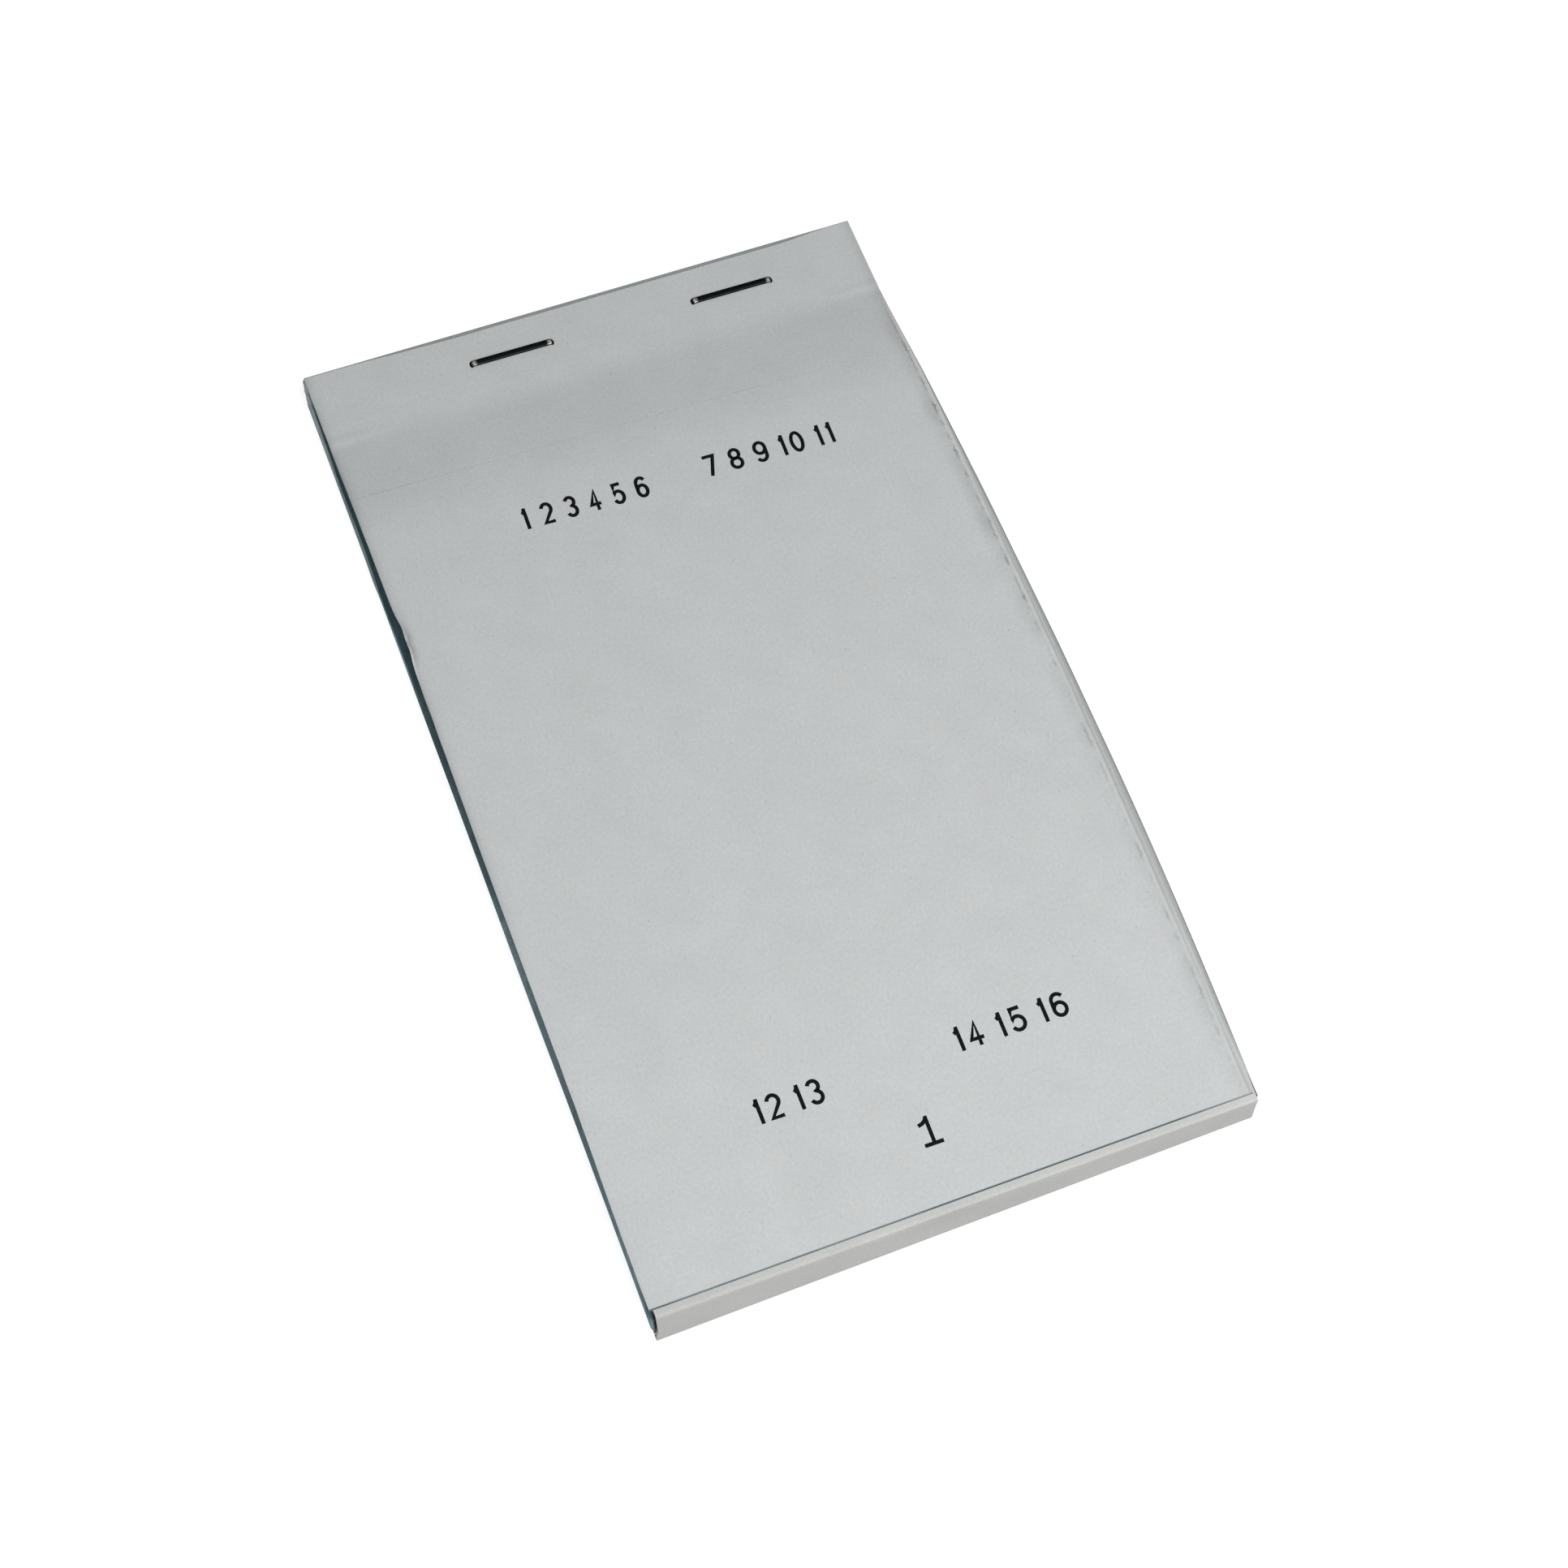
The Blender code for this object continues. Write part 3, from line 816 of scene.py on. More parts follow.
class PAD_OT_lower_sheets(bpy.types.Operator):
    """Make the two sheets of every set below the shield"""

    bl_idname = "pad.lower_sheets"
    bl_label = "Lower sheets"

    def execute(self, context):
        draw = np.random.default_rng(7)
        across = np.concatenate([LEFT_SHARES, np.linspace(0.0, 1.0, 9)[1:-1], RIGHT_SHARES])
        along = np.unique(np.concatenate([np.linspace(0.0, 1.0, 41), np.linspace(0.7, 1.0, 37)]))[:, None]
        inside = across > LEFT_MARGIN
        for rank, name in enumerate(reversed(SET_NAMES)):
            low, high = node_box(name)
            level = (rank + 1.0) / len(SET_NAMES)
            slabs = []
            values = {"tone": [], "rim": [], "stain_and_shade": [], "coat": []}
            for copy in (0, 1):
                z = low[2] + copy * PAPER
                seed = int(draw.integers(1 << 30))
                jog_left, jog_right, jog_along = draw.normal(0.0, JOGS)
                foot_y = low[1] + FOOT_GAP + jog_along
                head_y = high[1] + jog_along + UPPERMOST_OUT * rise((level - 0.84) / 0.06)
                y0 = foot_y + (head_y - foot_y) * along
                left, right = lower_edges(y0, level, seed, jog_left, jog_right)
                x = left + (right - left) * across
                y = y0 + fold_shift(x, z) * step(y0, 10.0, -80.0) + 0.02 * ripple(x, 0.0, seed + 2, 25.0)
                # the foot's left corner is drawn back from the wall
                y = y + (CORNER_BACK + CORNER_MORE * level) * step(x, -36.0, -10.0) * step(y0, -72.0, -8.0)
                upper = grid(x, y, z + LOWER_SHEET + level ** 1.6 * (swell(y) + waviness(x, y)))
                slabs.append((upper, lowered(upper, LOWER_SHEET)))
                # tones: painted shade on the right edge and at the foot, painted light on the left margin
                # where the staples hold it
                firm = held(y0, level)
                from_edge = right - x
                shade = 0.25 * bell(from_edge, 0.0, 0.35) + 0.18 * bell(from_edge, 0.0, 1.6, power=4)
                tone = LOWER_TONE - SECOND_COPY_SHADE * copy - shade * rise((bow(y0) - 0.2) / 0.6)
                hidden = np.where(inside, 1.0, rise((level - 0.3) / 0.3))
                tone = tone * (1.0 - FOOT_SHADE * hidden * rise(foot_y + 0.7 + 0.5 * inside - y0))
                values["tone"].append(tone + HELD_PAINTED_LIGHT * near_staples(y0) * firm * ~inside)
                # painted light on the rims; within the shaded foot they stay dark with painted shade, all
                # but the leftmost
                pale = rim_light(y, level)
                lit = (y0 > foot_y + SHADED_FOOT) | (across < LEFT_RIM)
                values["rim"].append(pale * (1.0 + draw.normal(0.0, 0.15)) * lit)
                # the left margin takes the coat's tint, partly painted shade, and painted shade where its
                # edge isn't pale; along the head, the painted shadow of the sheets above
                margin = ~inside * rise((0.98 - level) / 0.1)
                values["coat"].append(margin * (1.0 - firm))
                left_shade = np.clip(0.93 - 2.2 * pale, 0.0, 1.0) * margin
                values["stain_and_shade"].append(left_shade + HEAD_SHADOW * (y > head_y - 0.9) * inside)
            obj = sheet_piece("sheets_" + name[-2:], slabs, sheet_finishes(), values)
            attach(obj, "pad")
            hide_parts(name)
        return {"FINISHED"}


def copy_columns():
    """Shares across a copy, close together at both edges."""
    fine = (0.06, 0.14, 0.24, 0.36, 0.5, 0.7, 0.95, 1.3, 1.7, 2.2)
    return spread(0.0, COPY_SPAN, 0.4, fine) / COPY_SPAN


def foot_edge(x):
    """The skewed foot edge of the first set."""
    return FOOT_EDGE_Y + FOOT_EDGE_SLOPE * x


def cuts(x):
    """One where the perforation is cut through, nothing at the ties."""
    return step(np.sin(2.0 * math.pi * x / CUT_PITCH), -0.72, 0.25)


def open_share(x):
    """How far the cuts stand open: most at the left edge, uneven along the line."""
    uneven = 0.55 + 0.40 * ripple(x, 0.0, seed=43, wave=7.0) + 0.9 * step(x, -36.0, -8.0)
    return uneven * (1.0 - 0.8 * step(x, 18.0, 20.0))


class PAD_OT_under_copy(bpy.types.Operator):
    """Make the under copy, stub and leaf in one sheet, with close rows below its perforation"""

    bl_idname = "pad.under_copy"
    bl_label = "Under copy"

    def execute(self, context):
        across = spread(0.0, COPY_SPAN, 1.6, np.arange(0.1, 2.2, 0.1)) / COPY_SPAN
        rows = spread(FOOT_EDGE_Y, HEAD_Y + 0.10, 1.4, (0.05, 0.1, 0.2, 0.4, 0.8))
        bend_rows = np.linspace(PERFORATION_Y - BEND_LENGTH, PERFORATION_Y, 16)
        y0 = np.unique(np.concatenate([rows, bend_rows]))[:, None]
        left = left_edge(y0) + 0.05
        strip = np.clip(HALF_WIDTH + bow(y0) - right_edge(y0), 0.0, None)
        right = right_edge(y0) + 0.5 * strip + 0.04 * ripple(y0, 0.0, seed=41, wave=7.0)
        x = left + (right - left) * across
        y = y0 + (foot_edge(x) - FOOT_EDGE_Y - UNDER_FOOT_OUT) * step(y0, 10.0, -90.0)
        outside = np.clip(x - right_edge(y0), 0.0, None)
        curl = 0.45 * edge_curl(x, y0) * np.exp(-outside / 0.8)
        upper = grid(x, y, base_height(x, y) + crease_dent(x, y) - SHEET_STEP + curl)
        # the strip that shows beside the top copy carries painted shade, deepest next to the top copy's
        # edge, with a pale outer edge
        pale_edge = bell(right - x, 0.0, 0.16) * (0.7 + 0.4 * ripple(y0, 0.0, seed=42, wave=4.0))
        near = bell(outside, 0.1, 0.22) * (0.08 + 0.08 * step(y0, -64.0, -12.0))
        shade = STRIP_SHADE * (1.0 - pale_edge) * (1.0 - 0.75 * step(y0, -44.0, -12.0))
        tone = UNDER_TONE - step(y0, 60.0, -22.0) * (outside > 0.0) * (shade + near)
        # painted shadow of the top copy's head edge on the strip beyond it
        tone = tone - UNDER_HEAD_SHADE * step(y, HEAD_Y - 1.1, 0.2)
        # dark foot line: the crushed edge's colour and painted shadow of the gap under it
        stain_and_shade = UNDER_FOOT_STAIN_AND_SHADOW * bell(y - foot_edge(x), -UNDER_FOOT_OUT, 0.14)
        values = {"tone": [tone], "rim": [np.full(x.shape, LEAF_RIM)], "stain_and_shade": [stain_and_shade]}
        sheet = sheet_piece("under_copy_sheet", [(upper, lowered(upper, PAPER))], sheet_finishes(), values)
        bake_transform(sheet)
        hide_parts("under_copy_stub", "under_copy")
        return {"FINISHED"}


def copy_tone(x, y):
    """Tone of the top copy.

    Painted shade between crease and perforation, at the stub's right edge, along the left edge and just
    inside the notch. Painted highlight at the lip of the notch and on the ridge of the curled right edge.
    Faintly cloudy all over.
    """
    line = perforation_y(x)
    from_left, from_right = x - left_edge(y), right_edge(y) - x
    # painted shade between crease and perforation
    band = step(y, CREASE_Y + 2.0, -6.0) * step(y, line - 9.0, 12.0)
    # painted shade along the stub's right edge
    margin = bell(from_right, 0.0, 1.3) * step(y, 50.0, 12.0)
    # painted highlight on the notch's curled lip, painted shade just inside it
    notch_painted_light = 2.2 * bell(from_left, 0.09, 0.13) * hill(y, 37.0, -14.0)
    notch_painted_light = notch_painted_light - bell(from_left, 0.4, 0.6) * hill(y, 36.5, -11.0)
    # painted shade along the left edge, where it rolls down
    left_shade = 0.05 + 0.22 * step(y, -35.0, 35.0) + 0.06 * hill(y, 72.0, -24.0)
    # painted highlight on the ridge of the curled right edge
    ridge_highlight = bell(from_right, 0.2, 0.28) * step(y, 28.0, 16.0) * step(y, 68.0, -6.0)
    cloud = CLOUD_TONE * (ripple(x, y, seed=53, wave=9.0) + ripple(x, y, seed=54, wave=22.0))
    tone = 1.0 - BAND_SHADE * band - STUB_SHADE * step(y, line, 14.0) - MARGIN_SHADE * margin
    tone = tone - left_shade * np.exp(-from_left / 0.6)
    return tone + NOTCH_PAINTED_LIGHT * notch_painted_light + RIDGE_HIGHLIGHT * ridge_highlight + cloud


def edge_wear_and_painted_light(x, y):
    """Distance from the right edge, and how strongly its wear and the painted shade and highlight of its
    curl show, for the paper's finish.
    """
    wear_and_painted_light = step(y, 67.0, -10.0) * (0.55 + 0.45 * step(y, -20.0, 40.0)) * step(y, -84.0, 12.0)
    return {"margin": [right_edge(y) - x], "wear_and_painted_light": [wear_and_painted_light]}


def cut_edge(x, side):
    """Edge of the top copy at the perforation, drawn back at open cuts: a side of 1 is above, -1 below."""
    gap = pad_sheets().cut_gap / MM
    return perforation_y(x) + side * 0.5 * gap * cuts(x) * open_share(x)


def stub_head(x):
    """Head edge of the top copy, a little hollow between its corners."""
    hollow = STUB_CORNERS + STUB_HOLLOW * step(x, -44.0, 22.0) * step(x, 44.0, -10.0)
    return HEAD_Y + STUB_OUT - hollow + 0.03 * ripple(x, 0.0, seed=61, wave=8.0)


def foot_stain_and_shadow(x, from_foot):
    """Dark line along the foot edge of the top copy, partly the crushed edge's colour and partly painted
    shadow of the gap under it: uneven, strongest right of the middle.
    """
    line = 0.76 + 0.2 * ripple(x, 0.0, seed=62, wave=16.0) + 0.24 * step(x, -30.0, 40.0)
    line = line - 0.6 * step(x, 34.0, 12.0)
    return np.clip(line, 0.0, 1.0) * bell(from_foot, 0.0, 0.19, power=4)


class PAD_OT_top_copy(bpy.types.Operator):
    """Make the top copy: its stapled stub, and the leaf that lifts at the perforation"""

    bl_idname = "pad.top_copy"
    bl_label = "Top copy"

    def part(self, rows, low_y, high_y):
        """Places across a part of the copy, from edge to edge on every row."""
        y0 = low_y + (high_y - low_y) * rows
        left, right = left_edge(y0), right_edge(y0)
        return left + (right - left) * copy_columns()

    def sheet(self, name, x, y, rim, **stain_and_shade):
        """The part as a sheet with its tones."""
        upper = grid(x, y, top_height(x, y))
        values = {"tone": [copy_tone(x, y)], "rim": [np.full(x.shape, rim)], **stain_and_shade, **edge_wear_and_painted_light(x, y)}
        return sheet_piece(name, [(upper, lowered(upper, PAPER))], sheet_finishes(), values)

    def execute(self, context):
        # stub, from the perforation up to the head
        rows = spread(0.0, 1.0, 0.02, (0.004, 0.012))[:, None]
        x = self.part(rows, PERFORATION_Y, HEAD_Y)
        foot = cut_edge(x, 1.0)
        y = foot + (stub_head(x) - foot) * rows
        stub = self.sheet("top_copy_stub_sheet", x, y, STUB_RIM)
        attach(stub, "pad")
        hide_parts("top_copy_stub")
        # leaf, from the foot up to the perforation
        length = PERFORATION_Y - FOOT_EDGE_Y
        rows = (spread(0.0, length, 1.1, (0.04, 0.09, 0.15, 0.22, 0.32, 0.46, 0.7, 1.0)) / length)[:, None]
        x = self.part(rows, FOOT_EDGE_Y, PERFORATION_Y)
        foot = foot_edge(x)
        y = foot + (cut_edge(x, -1.0) - foot) * rows
        leaf = self.sheet("top_copy_leaf", x, y, LEAF_RIM, stain_and_shade=[foot_stain_and_shadow(x, y - foot)])
        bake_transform(leaf)
        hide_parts("top_copy")
        return {"FINISHED"}


# Rows of numbers as (name, figures, start, end, height), and their pen; s stands for a 1 with a foot
NUMBER_ROWS = (
    ("number_row_1", "1 2 3 4 5 6", (-22.97, 43.96), (-1.96, 43.33), 4.0),
    ("number_row_2", "7 8 9 10 11", (7.66, 43.45), (30.09, 42.83), 4.0),
    ("number_row_3", "12 13", (-23.4, -59.97), (-12.7, -59.97), 4.0),
    ("number_row_4", "14 15 16", (8.44, -59.78), (26.57, -59.94), 4.0),
    ("sheet_number", "s", (-1.85, -71.45), (1.04, -71.5), 4.6),
)
FIGURE_GAP = 0.22
FIGURE_WIDTHS = {" ": 0.42, "1": 0.62}
PEN_END = 0.075
STROKE = 0.60
INK_HEIGHT = 0.012
INK_SINK = 0.004


def arc(centre, reach, start, end, count=22):
    """Points of an ellipse's arc between two angles in degrees."""
    turn = np.radians(np.linspace(start, end, count))
    return np.stack([centre[0] + reach[0] * np.cos(turn), centre[1] + reach[1] * np.sin(turn)], -1)


def figure(key):
    """Pen lines of one figure in a unit box, as (points, closed); s is a 1 with a foot."""
    e = PEN_END
    if key == "0":
        return [(arc((0.5, 0.5), (0.5, 0.5), 0.0, 346.0, 27), True)]
    if key in "1s":
        stem = np.array([(0.58, 1.0 + e), (0.58, -e)])
        flag = np.array([(-0.05, 0.78), (0.25, 0.82), (0.45, 0.90), (0.58, 1.0)])
        foot = [(np.array([(-0.1, 0.0), (1.2, 0.0)]), False)] if key == "s" else []
        return [(stem, False), (flag, False)] + foot
    if key == "2":
        tail = np.array([(0.05, 0.0), (1.0 + e, 0.0)])
        return [(np.concatenate([arc((0.5, 0.72), (0.5, 0.28), 165.0, -35.0), tail]), False)]
    if key == "3":
        upper = arc((0.48, 0.755), (0.46, 0.245), 160.0, -70.0)
        return [(np.concatenate([upper, arc((0.5, 0.265), (0.5, 0.265), 72.0, -160.0)]), False)]
    if key == "4":
        return [(np.array([(1.0 + e, 0.27), (0.03, 0.27), (0.66, 1.0), (0.66, -e)]), False)]
    if key == "5":
        start = np.array([(0.94, 1.0), (0.16, 1.0), (0.09, 0.49)])
        return [(np.concatenate([start, arc((0.47, 0.315), (0.53, 0.315), 132.0, -155.0)]), False)]
    if key == "6":
        hook = arc((0.52, 0.70), (0.50, 0.30), 30.0, 180.0, 14)
        return [(np.concatenate([hook, arc((0.5, 0.30), (0.5, 0.30), 180.0, 536.0, 30)]), False)]
    if key == "7":
        return [(np.array([(-0.06, 1.0), (1.0, 1.0), (0.34, -e)]), False)]
    if key == "8":
        upper = arc((0.5, 0.755), (0.44, 0.245), 0.0, 345.0, 24)
        return [(upper, True), (arc((0.5, 0.265), (0.5, 0.265), 0.0, 345.0, 24), True)]
    return [(1.0 - points, closed) for points, closed in figure("6")]


def ribbon(line, closed):
    """Left and right side of a pen line of the stroke's width, mitred at its corners."""
    step = np.diff(np.concatenate([line, line[:1]]) if closed else line, axis=0)
    side = np.stack([-step[:, 1], step[:, 0]], -1) / np.hypot(step[:, 0], step[:, 1])[:, None]
    before = np.concatenate([side[-1:] if closed else side[:1], side])[: len(line)]
    after = side if closed else np.concatenate([side, side[-1:]])
    middle = before + after
    middle = middle / np.hypot(middle[:, 0], middle[:, 1])[:, None]
    reach = 0.5 * STROKE / np.clip((middle * after).sum(-1), 0.6, 1.0)[:, None]
    return np.stack([line + reach * middle, line - reach * middle], 1)


def film(sides, closed):
    """A solid film of ink over a pen line, a little sunk in the paper: a slab, or a closed ring."""
    z = top_height(sides[..., 0], sides[..., 1])
    upper = grid(sides[..., 0], sides[..., 1], z + INK_HEIGHT)
    lower = grid(sides[..., 0], sides[..., 1], z - INK_SINK)
    if not closed:
        return slab(upper, lower)[:2]
    points = np.concatenate([upper[:, 0], upper[:, 1], lower[:, 1], lower[:, 0]])
    count = len(sides)
    index = np.arange(4 * count).reshape(4, count)
    here, there = index, np.roll(index, -1, axis=1)
    quads = np.stack([here, np.roll(here, -1, axis=0), np.roll(there, -1, axis=0), there], -1)
    return points, quads.reshape(-1, 4)


def number_row(text, start, end, height):
    """Points and quads of a row of figures set from start to end, standing a height tall."""
    start, end = np.array(start), np.array(end)
    length = np.hypot(*(end - start))
    base = (end - start) / length
    up = np.array([-base[1], base[0]])
    wide = np.array([FIGURE_WIDTHS.get(key, 1.0) for key in text])
    unit = length / (wide.sum() + FIGURE_GAP * (len(text) - 1))
    points, quads, count = [], [], 0
    for place, key in enumerate(text):
        if key == " ":
            continue
        offset = unit * (wide[:place].sum() + FIGURE_GAP * place)
        for line, closed in figure(key):
            across = offset + 0.5 * STROKE + line[:, :1] * (unit * wide[place] - STROKE)
            rise_up = 0.5 * STROKE + line[:, 1:] * (height - STROKE)
            p, q = film(ribbon(start + across * base + rise_up * up, closed), closed)
            points.append(p)
            quads.append(q + count)
            count += len(p)
    return np.concatenate(points), np.concatenate(quads)


class PAD_OT_numbers(bpy.types.Operator):
    """Print plain numbers on the top copy as a thin solid film of ink"""

    bl_idname = "pad.numbers"
    bl_label = "Printed numbers"

    def execute(self, context):
        ink = finish("printing_ink", ink_face)
        for name, text, start, end, height in NUMBER_ROWS:
            points, faces = number_row(text, start, end, height)
            same = np.zeros(len(faces), int)
            obj = piece(name, points, [faces], same, [ink], same > 0, points[:, :2], {})
            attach(obj, "top_leaf")
        return {"FINISHED"}


# Flattened wire of the staples, the radius of the solids' wire, and the painted glints at the crown's bends
WIRE_WIDTH = 1.12
WIRE_DEPTH = 0.55
WIRE_CORNER = 0.55
CLINCH_LENGTH = 5.0
STAPLE_SLOPE = -0.0078
SOLID_WIRE = 0.30
GLINT_PLACE = 0.75
GLINT_REACH = 0.18


def staple_line(low, high):
    """Centre line of a staple as (X, Z): clinch, leg, crown, leg and clinch, with round corners."""
    half = WIRE_DEPTH / 2.0
    left, right = low[0] + SOLID_WIRE, high[0] - SOLID_WIRE
    bottom, crown = low[2] + SOLID_WIRE, STUB_TOP + half - 0.02
    quarter = np.linspace(0.0, math.pi / 2.0, 9)
    c, s = WIRE_CORNER * np.cos(quarter), WIRE_CORNER * np.sin(quarter)
    r = WIRE_CORNER
    foot_left = np.stack([left + r - s, bottom + r - c], -1)
    head_left = np.stack([left + r - c, crown - r + s], -1)
    top = np.stack([np.linspace(left + r, right - r, 26)[1:-1], np.full(24, crown)], -1)
    head_right = np.stack([right - r + s, crown - r + c], -1)
    foot_right = np.stack([right - r + c, bottom + r - s], -1)
    start = np.array([[left + CLINCH_LENGTH, bottom], [left + 0.5 * CLINCH_LENGTH, bottom]])
    end = np.array([[right - 0.5 * CLINCH_LENGTH, bottom], [right - CLINCH_LENGTH, bottom]])
    return np.concatenate([start, foot_left, head_left, top, head_right, foot_right, end])


class PAD_OT_staples(bpy.types.Operator):
    """Make the two wire staples: an oval wire carried along clinch, leg, crown, leg and clinch.

    Both stand on one line that is a little skewed to the pad. The crowns carry painted glints at their
    bends, and a faint painted reflection along their foot side.
    """

    bl_idname = "pad.staples"
    bl_label = "Staples"

    def execute(self, context):
        steel = finish("staple_steel", wire_face)
        turn = np.linspace(-math.pi, math.pi, 28, endpoint=False)
        width, depth = 0.5 * WIRE_WIDTH * np.cos(turn), 0.5 * WIRE_DEPTH * np.sin(turn)
        for name in STAPLE_NAMES:
            low, high = node_box(name)
            line = staple_line(low, high)
            along = np.gradient(line, axis=0)
            along = along / np.hypot(along[:, 0], along[:, 1])[:, None]
            # the wire's width lies along Y, its depth along the normal in the plane of the staple
            normal = np.stack([-along[:, 1], along[:, 0]], -1)
            x = line[:, :1] + normal[:, :1] * depth
            y = 0.5 * (low[1] + high[1]) - width + STAPLE_SLOPE * x
            z = line[:, 1:] + normal[:, 1:] * depth
            points = grid(x, y, z).reshape(-1, 3)
            index = np.arange(len(points)).reshape(len(line), len(turn))
            after = np.roll(index, -1, axis=1)
            quads = np.stack([index[:-1], after[:-1], after[1:], index[1:]], -1).reshape(-1, 4)
            caps = np.stack([index[0][::-1], index[-1]])
            # painted glints on top of the crown's bends, and a faint painted reflection along the foot side
            bends = bell(x, low[0] + GLINT_PLACE, GLINT_REACH) + bell(x, high[0] - GLINT_PLACE, GLINT_REACH)
            bends = bends * bell(turn, 0.45 * math.pi, 0.8)
            wear_and_painted_light = np.maximum(0.95 * bends, 0.2 * bell(turn, -0.45, 0.3)) * (z > STUB_TOP - 0.1)
            smooth = np.repeat([True, False], [len(quads), 2])
            obj = piece(name + "_wire", points, [quads, caps], np.zeros(len(quads) + 2), [steel], smooth,
                        points[:, :2], {"wear_and_painted_light": wear_and_painted_light})
            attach(obj, "pad")
            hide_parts(name)
        return {"FINISHED"}


# Camera, key lamp, ambient light and floor, in metres
CAMERA_PLACE = (-0.08643, -0.16166, 0.39929)
CAMERA_RIGHT = (0.92972, -0.36255, 0.06465)
CAMERA_DOWN = (-0.30867, -0.86291, -0.40013)
CAMERA_FORWARD = (0.20085, 0.35205, -0.91418)
KEY_WAY = (0.1215, -0.4535, 0.8829)
KEY_DISTANCE = 0.62
KEY_SIZE = 0.36
SENSOR = 36.0
NEAR_CLIP = 0.01
AMBIENT_TINT = (0.93, 0.97, 1.0, 1.0)
WHITE = (1.0, 1.0, 1.0, 1.0)
FLOOR_REACH = 3.0
FLOOR_SHOWN = (0.42, 0.42, 0.42, 1.0)
FLOOR_GLOW = (0.83, 0.83, 0.83, 1.0)
FLOOR_THROWN = (0.55, 0.55, 0.55, 1.0)
GLOW_FROM = (0.35, 1.2)
GLOW_TO = (1.0, 1.2)


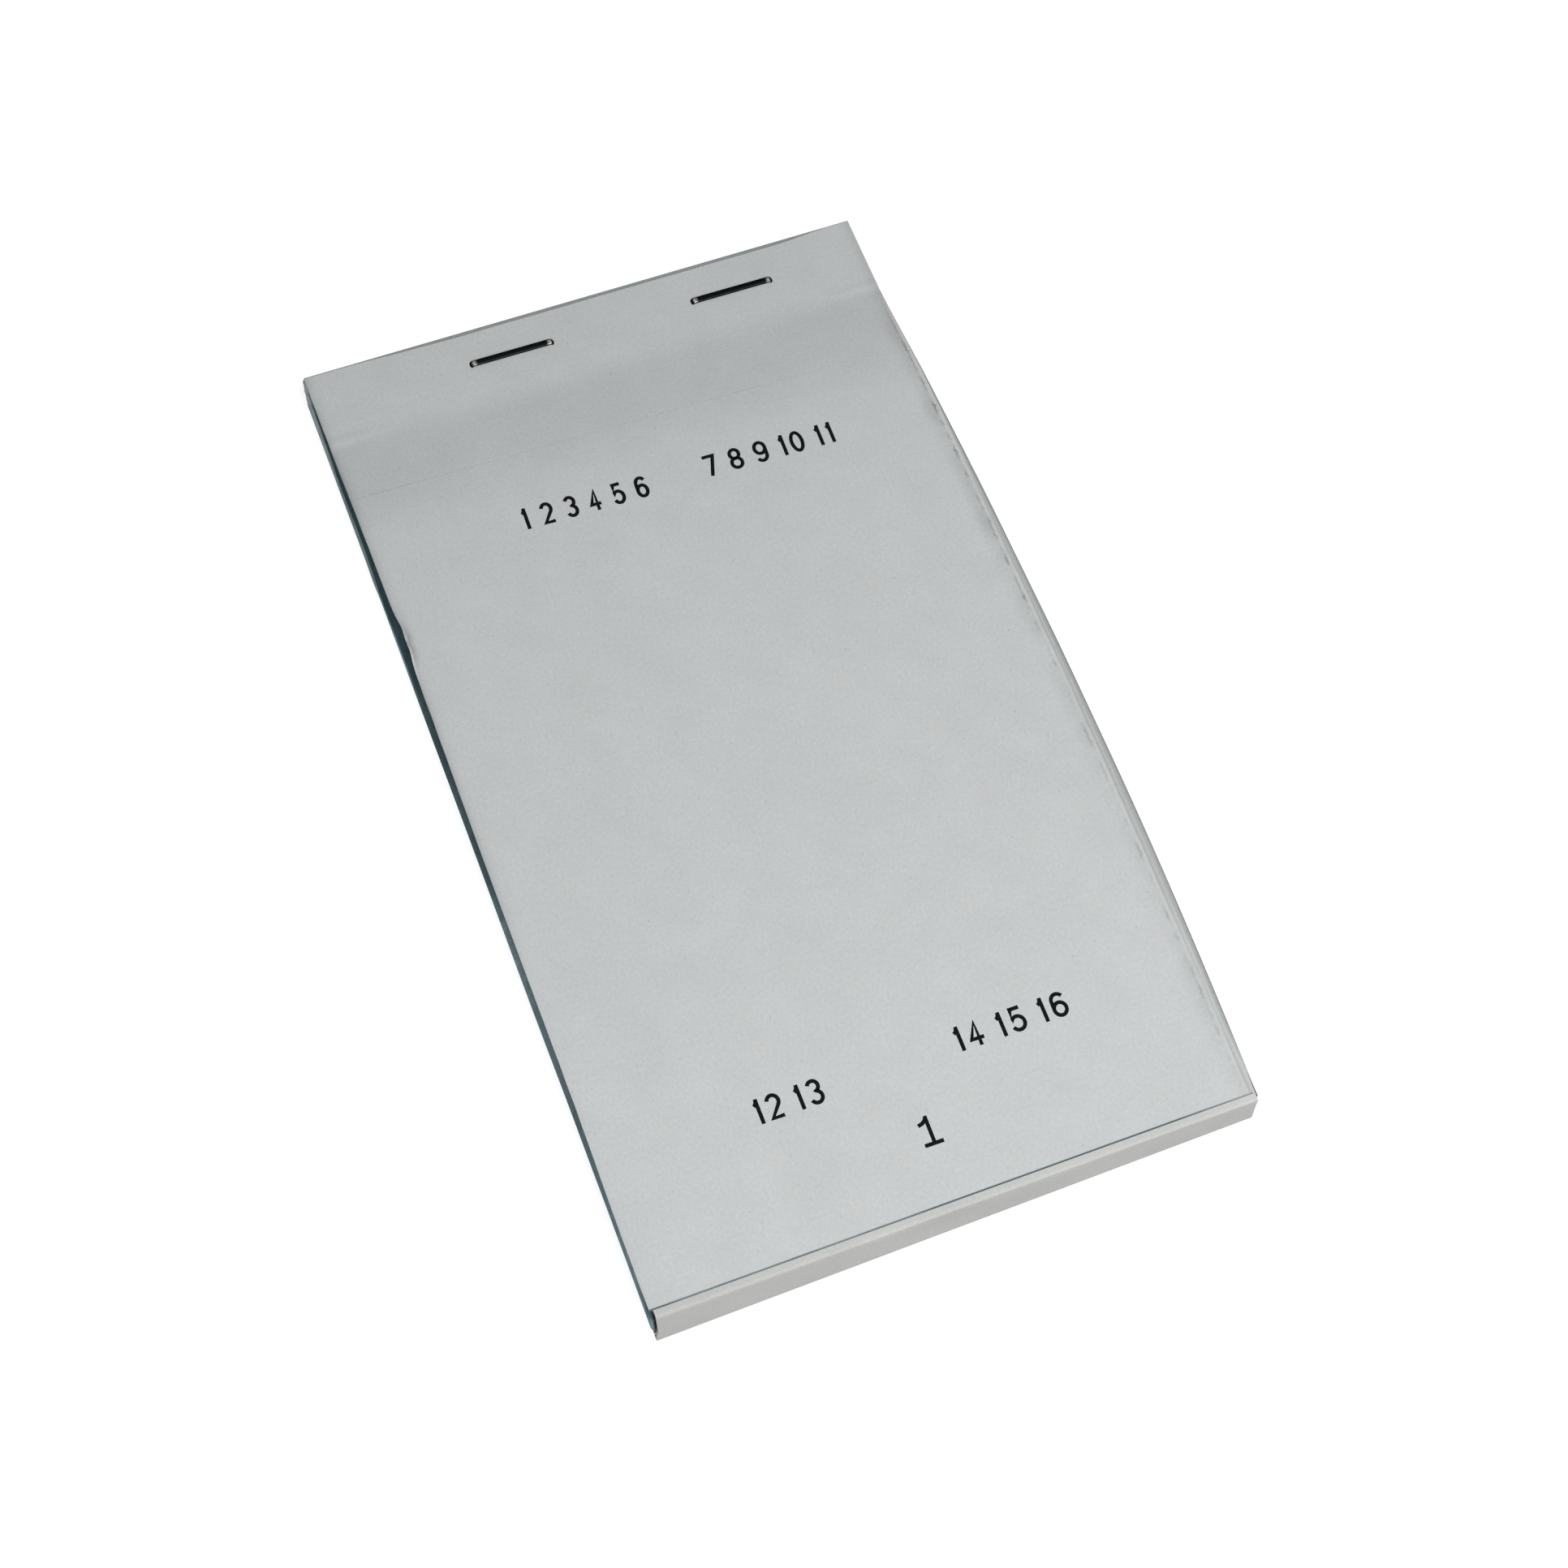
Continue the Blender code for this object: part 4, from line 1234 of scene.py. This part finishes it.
class PAD_OT_stage(bpy.types.Operator):
    """Set up the pale floor, the soft light and the camera"""

    bl_idname = "pad.stage"
    bl_label = "Floor, light and camera"

    def execute(self, context):
        stage = pad_stage()
        scene = context.scene
        scene.view_settings.view_transform = "Standard"
        self.make_camera(scene, stage)
        self.make_key(scene, stage)
        self.make_world(scene, stage)
        self.make_floor(scene)
        return {"FINISHED"}

    def make_camera(self, scene, stage):
        """The camera at the photograph's place and angle."""
        data = bpy.data.cameras.new("camera")
        data.lens = stage.lens
        data.sensor_width = SENSOR
        data.clip_start = NEAR_CLIP
        camera = bpy.data.objects.new("camera", data)
        columns = np.array([CAMERA_RIGHT, np.negative(CAMERA_DOWN), np.negative(CAMERA_FORWARD)])
        turned = np.eye(4)
        turned[:3, :3] = columns.T
        turned[:3, 3] = CAMERA_PLACE
        camera.matrix_world = Matrix(turned.tolist())
        scene.collection.objects.link(camera)
        scene.camera = camera

    def make_key(self, scene, stage):
        """One large round lamp at the foot's right."""
        data = bpy.data.lights.new("key", "AREA")
        data.shape = "DISK"
        data.size = KEY_SIZE
        data.energy = stage.key_power
        lamp = bpy.data.objects.new("key", data)
        way = np.array(KEY_WAY) / np.linalg.norm(KEY_WAY)
        side = np.cross((0.0, 0.0, 1.0), way)
        side = side / np.linalg.norm(side)
        turned = np.eye(4)
        turned[:3, 0], turned[:3, 1], turned[:3, 2] = side, np.cross(way, side), way
        turned[:3, 3] = way * KEY_DISTANCE
        lamp.matrix_world = Matrix(turned.tolist())
        scene.collection.objects.link(lamp)

    def make_world(self, scene, stage):
        """Even light of the ambient strength; white where it is seen."""
        n = Nodes(bpy.data.worlds.new("studio"))
        light = n.tree.nodes["Background"]
        n.put(light.inputs["Color"], AMBIENT_TINT)
        n.put(light.inputs["Strength"], stage.ambient)
        white = n.add("ShaderNodeBackground", None, WHITE, 1.0)
        mixed = n.add("ShaderNodeMixShader", None, n.seen(), light.outputs[0], white.outputs[0])
        n.put(n.tree.nodes["World Output"].inputs["Surface"], mixed.outputs[0])
        scene.world = n.owner

    def make_floor(self, scene):
        """A wide floor that looks white, whiter far away, keeps the shadow and throws little light back."""
        mesh = bpy.data.meshes.new("floor")
        signs = ((-1.0, -1.0), (1.0, -1.0), (1.0, 1.0), (-1.0, 1.0))
        mesh.from_pydata([(FLOOR_REACH * x, FLOOR_REACH * y, 0.0) for x, y in signs], [], [(0, 1, 2, 3)])
        n = Nodes(bpy.data.materials.new("floor"))
        n.tree.nodes.remove(n.tree.nodes["Principled BSDF"])
        place = n.add("ShaderNodeTexCoord").outputs["Object"]
        away = n.add("ShaderNodeVectorMath", {"operation": "LENGTH"}, place).outputs["Value"]
        strength = n.ranged(away, *GLOW_FROM, *GLOW_TO, "SMOOTHSTEP")
        shown = n.add("ShaderNodeBsdfDiffuse", None, Color=FLOOR_SHOWN)
        glow = n.add("ShaderNodeEmission", None, Color=FLOOR_GLOW, Strength=strength)
        both = n.add("ShaderNodeAddShader", None, shown.outputs[0], glow.outputs[0])
        thrown = n.add("ShaderNodeBsdfDiffuse", None, Color=FLOOR_THROWN)
        mixed = n.add("ShaderNodeMixShader", None, n.seen(), thrown.outputs[0], both.outputs[0])
        n.put(n.tree.nodes["Material Output"].inputs["Surface"], mixed.outputs[0])
        mesh.materials.append(n.owner)
        floor = bpy.data.objects.new("floor", mesh)
        scene.collection.objects.link(floor)


OPERATORS = (
    PAD_OT_stage, PAD_OT_board, PAD_OT_wrap, PAD_OT_lower_sheets, PAD_OT_under_copy, PAD_OT_top_copy,
    PAD_OT_numbers, PAD_OT_staples,
)


class PAD_PT_panel(bpy.types.Panel):
    """Lists the pad's steps and values"""

    bl_idname = "PAD_PT_panel"
    bl_label = "Order Pad"
    bl_space_type = "VIEW_3D"
    bl_region_type = "UI"
    bl_category = "Order Pad"

    def draw(self, context):
        for group in (pad_sheets(), pad_colours(), pad_stage()):
            box = self.layout.box()
            for key in group.bl_rna.properties.keys():
                if key not in {"rna_type", "name"}:
                    box.prop(group, key)
        for operator in OPERATORS:
            self.layout.operator(operator.bl_idname)


GROUPS = {"pad_sheets": PadSheets, "pad_colours": PadColours, "pad_stage": PadStage}


def register():
    """Add the classes, and their values to the scene."""
    for each in (*GROUPS.values(), *OPERATORS, PAD_PT_panel):
        bpy.utils.register_class(each)
    for key, group in GROUPS.items():
        setattr(bpy.types.Scene, key, bpy.props.PointerProperty(type=group))


def unregister():
    """Take the classes and their values away again."""
    for key in GROUPS:
        delattr(bpy.types.Scene, key)
    for each in reversed((*GROUPS.values(), *OPERATORS, PAD_PT_panel)):
        bpy.utils.unregister_class(each)


def main():
    """Register the classes and build the looks in order."""
    register()
    bpy.ops.pad.stage()
    bpy.ops.pad.board()
    bpy.ops.pad.wrap()
    bpy.ops.pad.lower_sheets()
    bpy.ops.pad.under_copy()
    bpy.ops.pad.top_copy()
    bpy.ops.pad.numbers()
    bpy.ops.pad.staples()


if __name__ == "__main__":
    main()
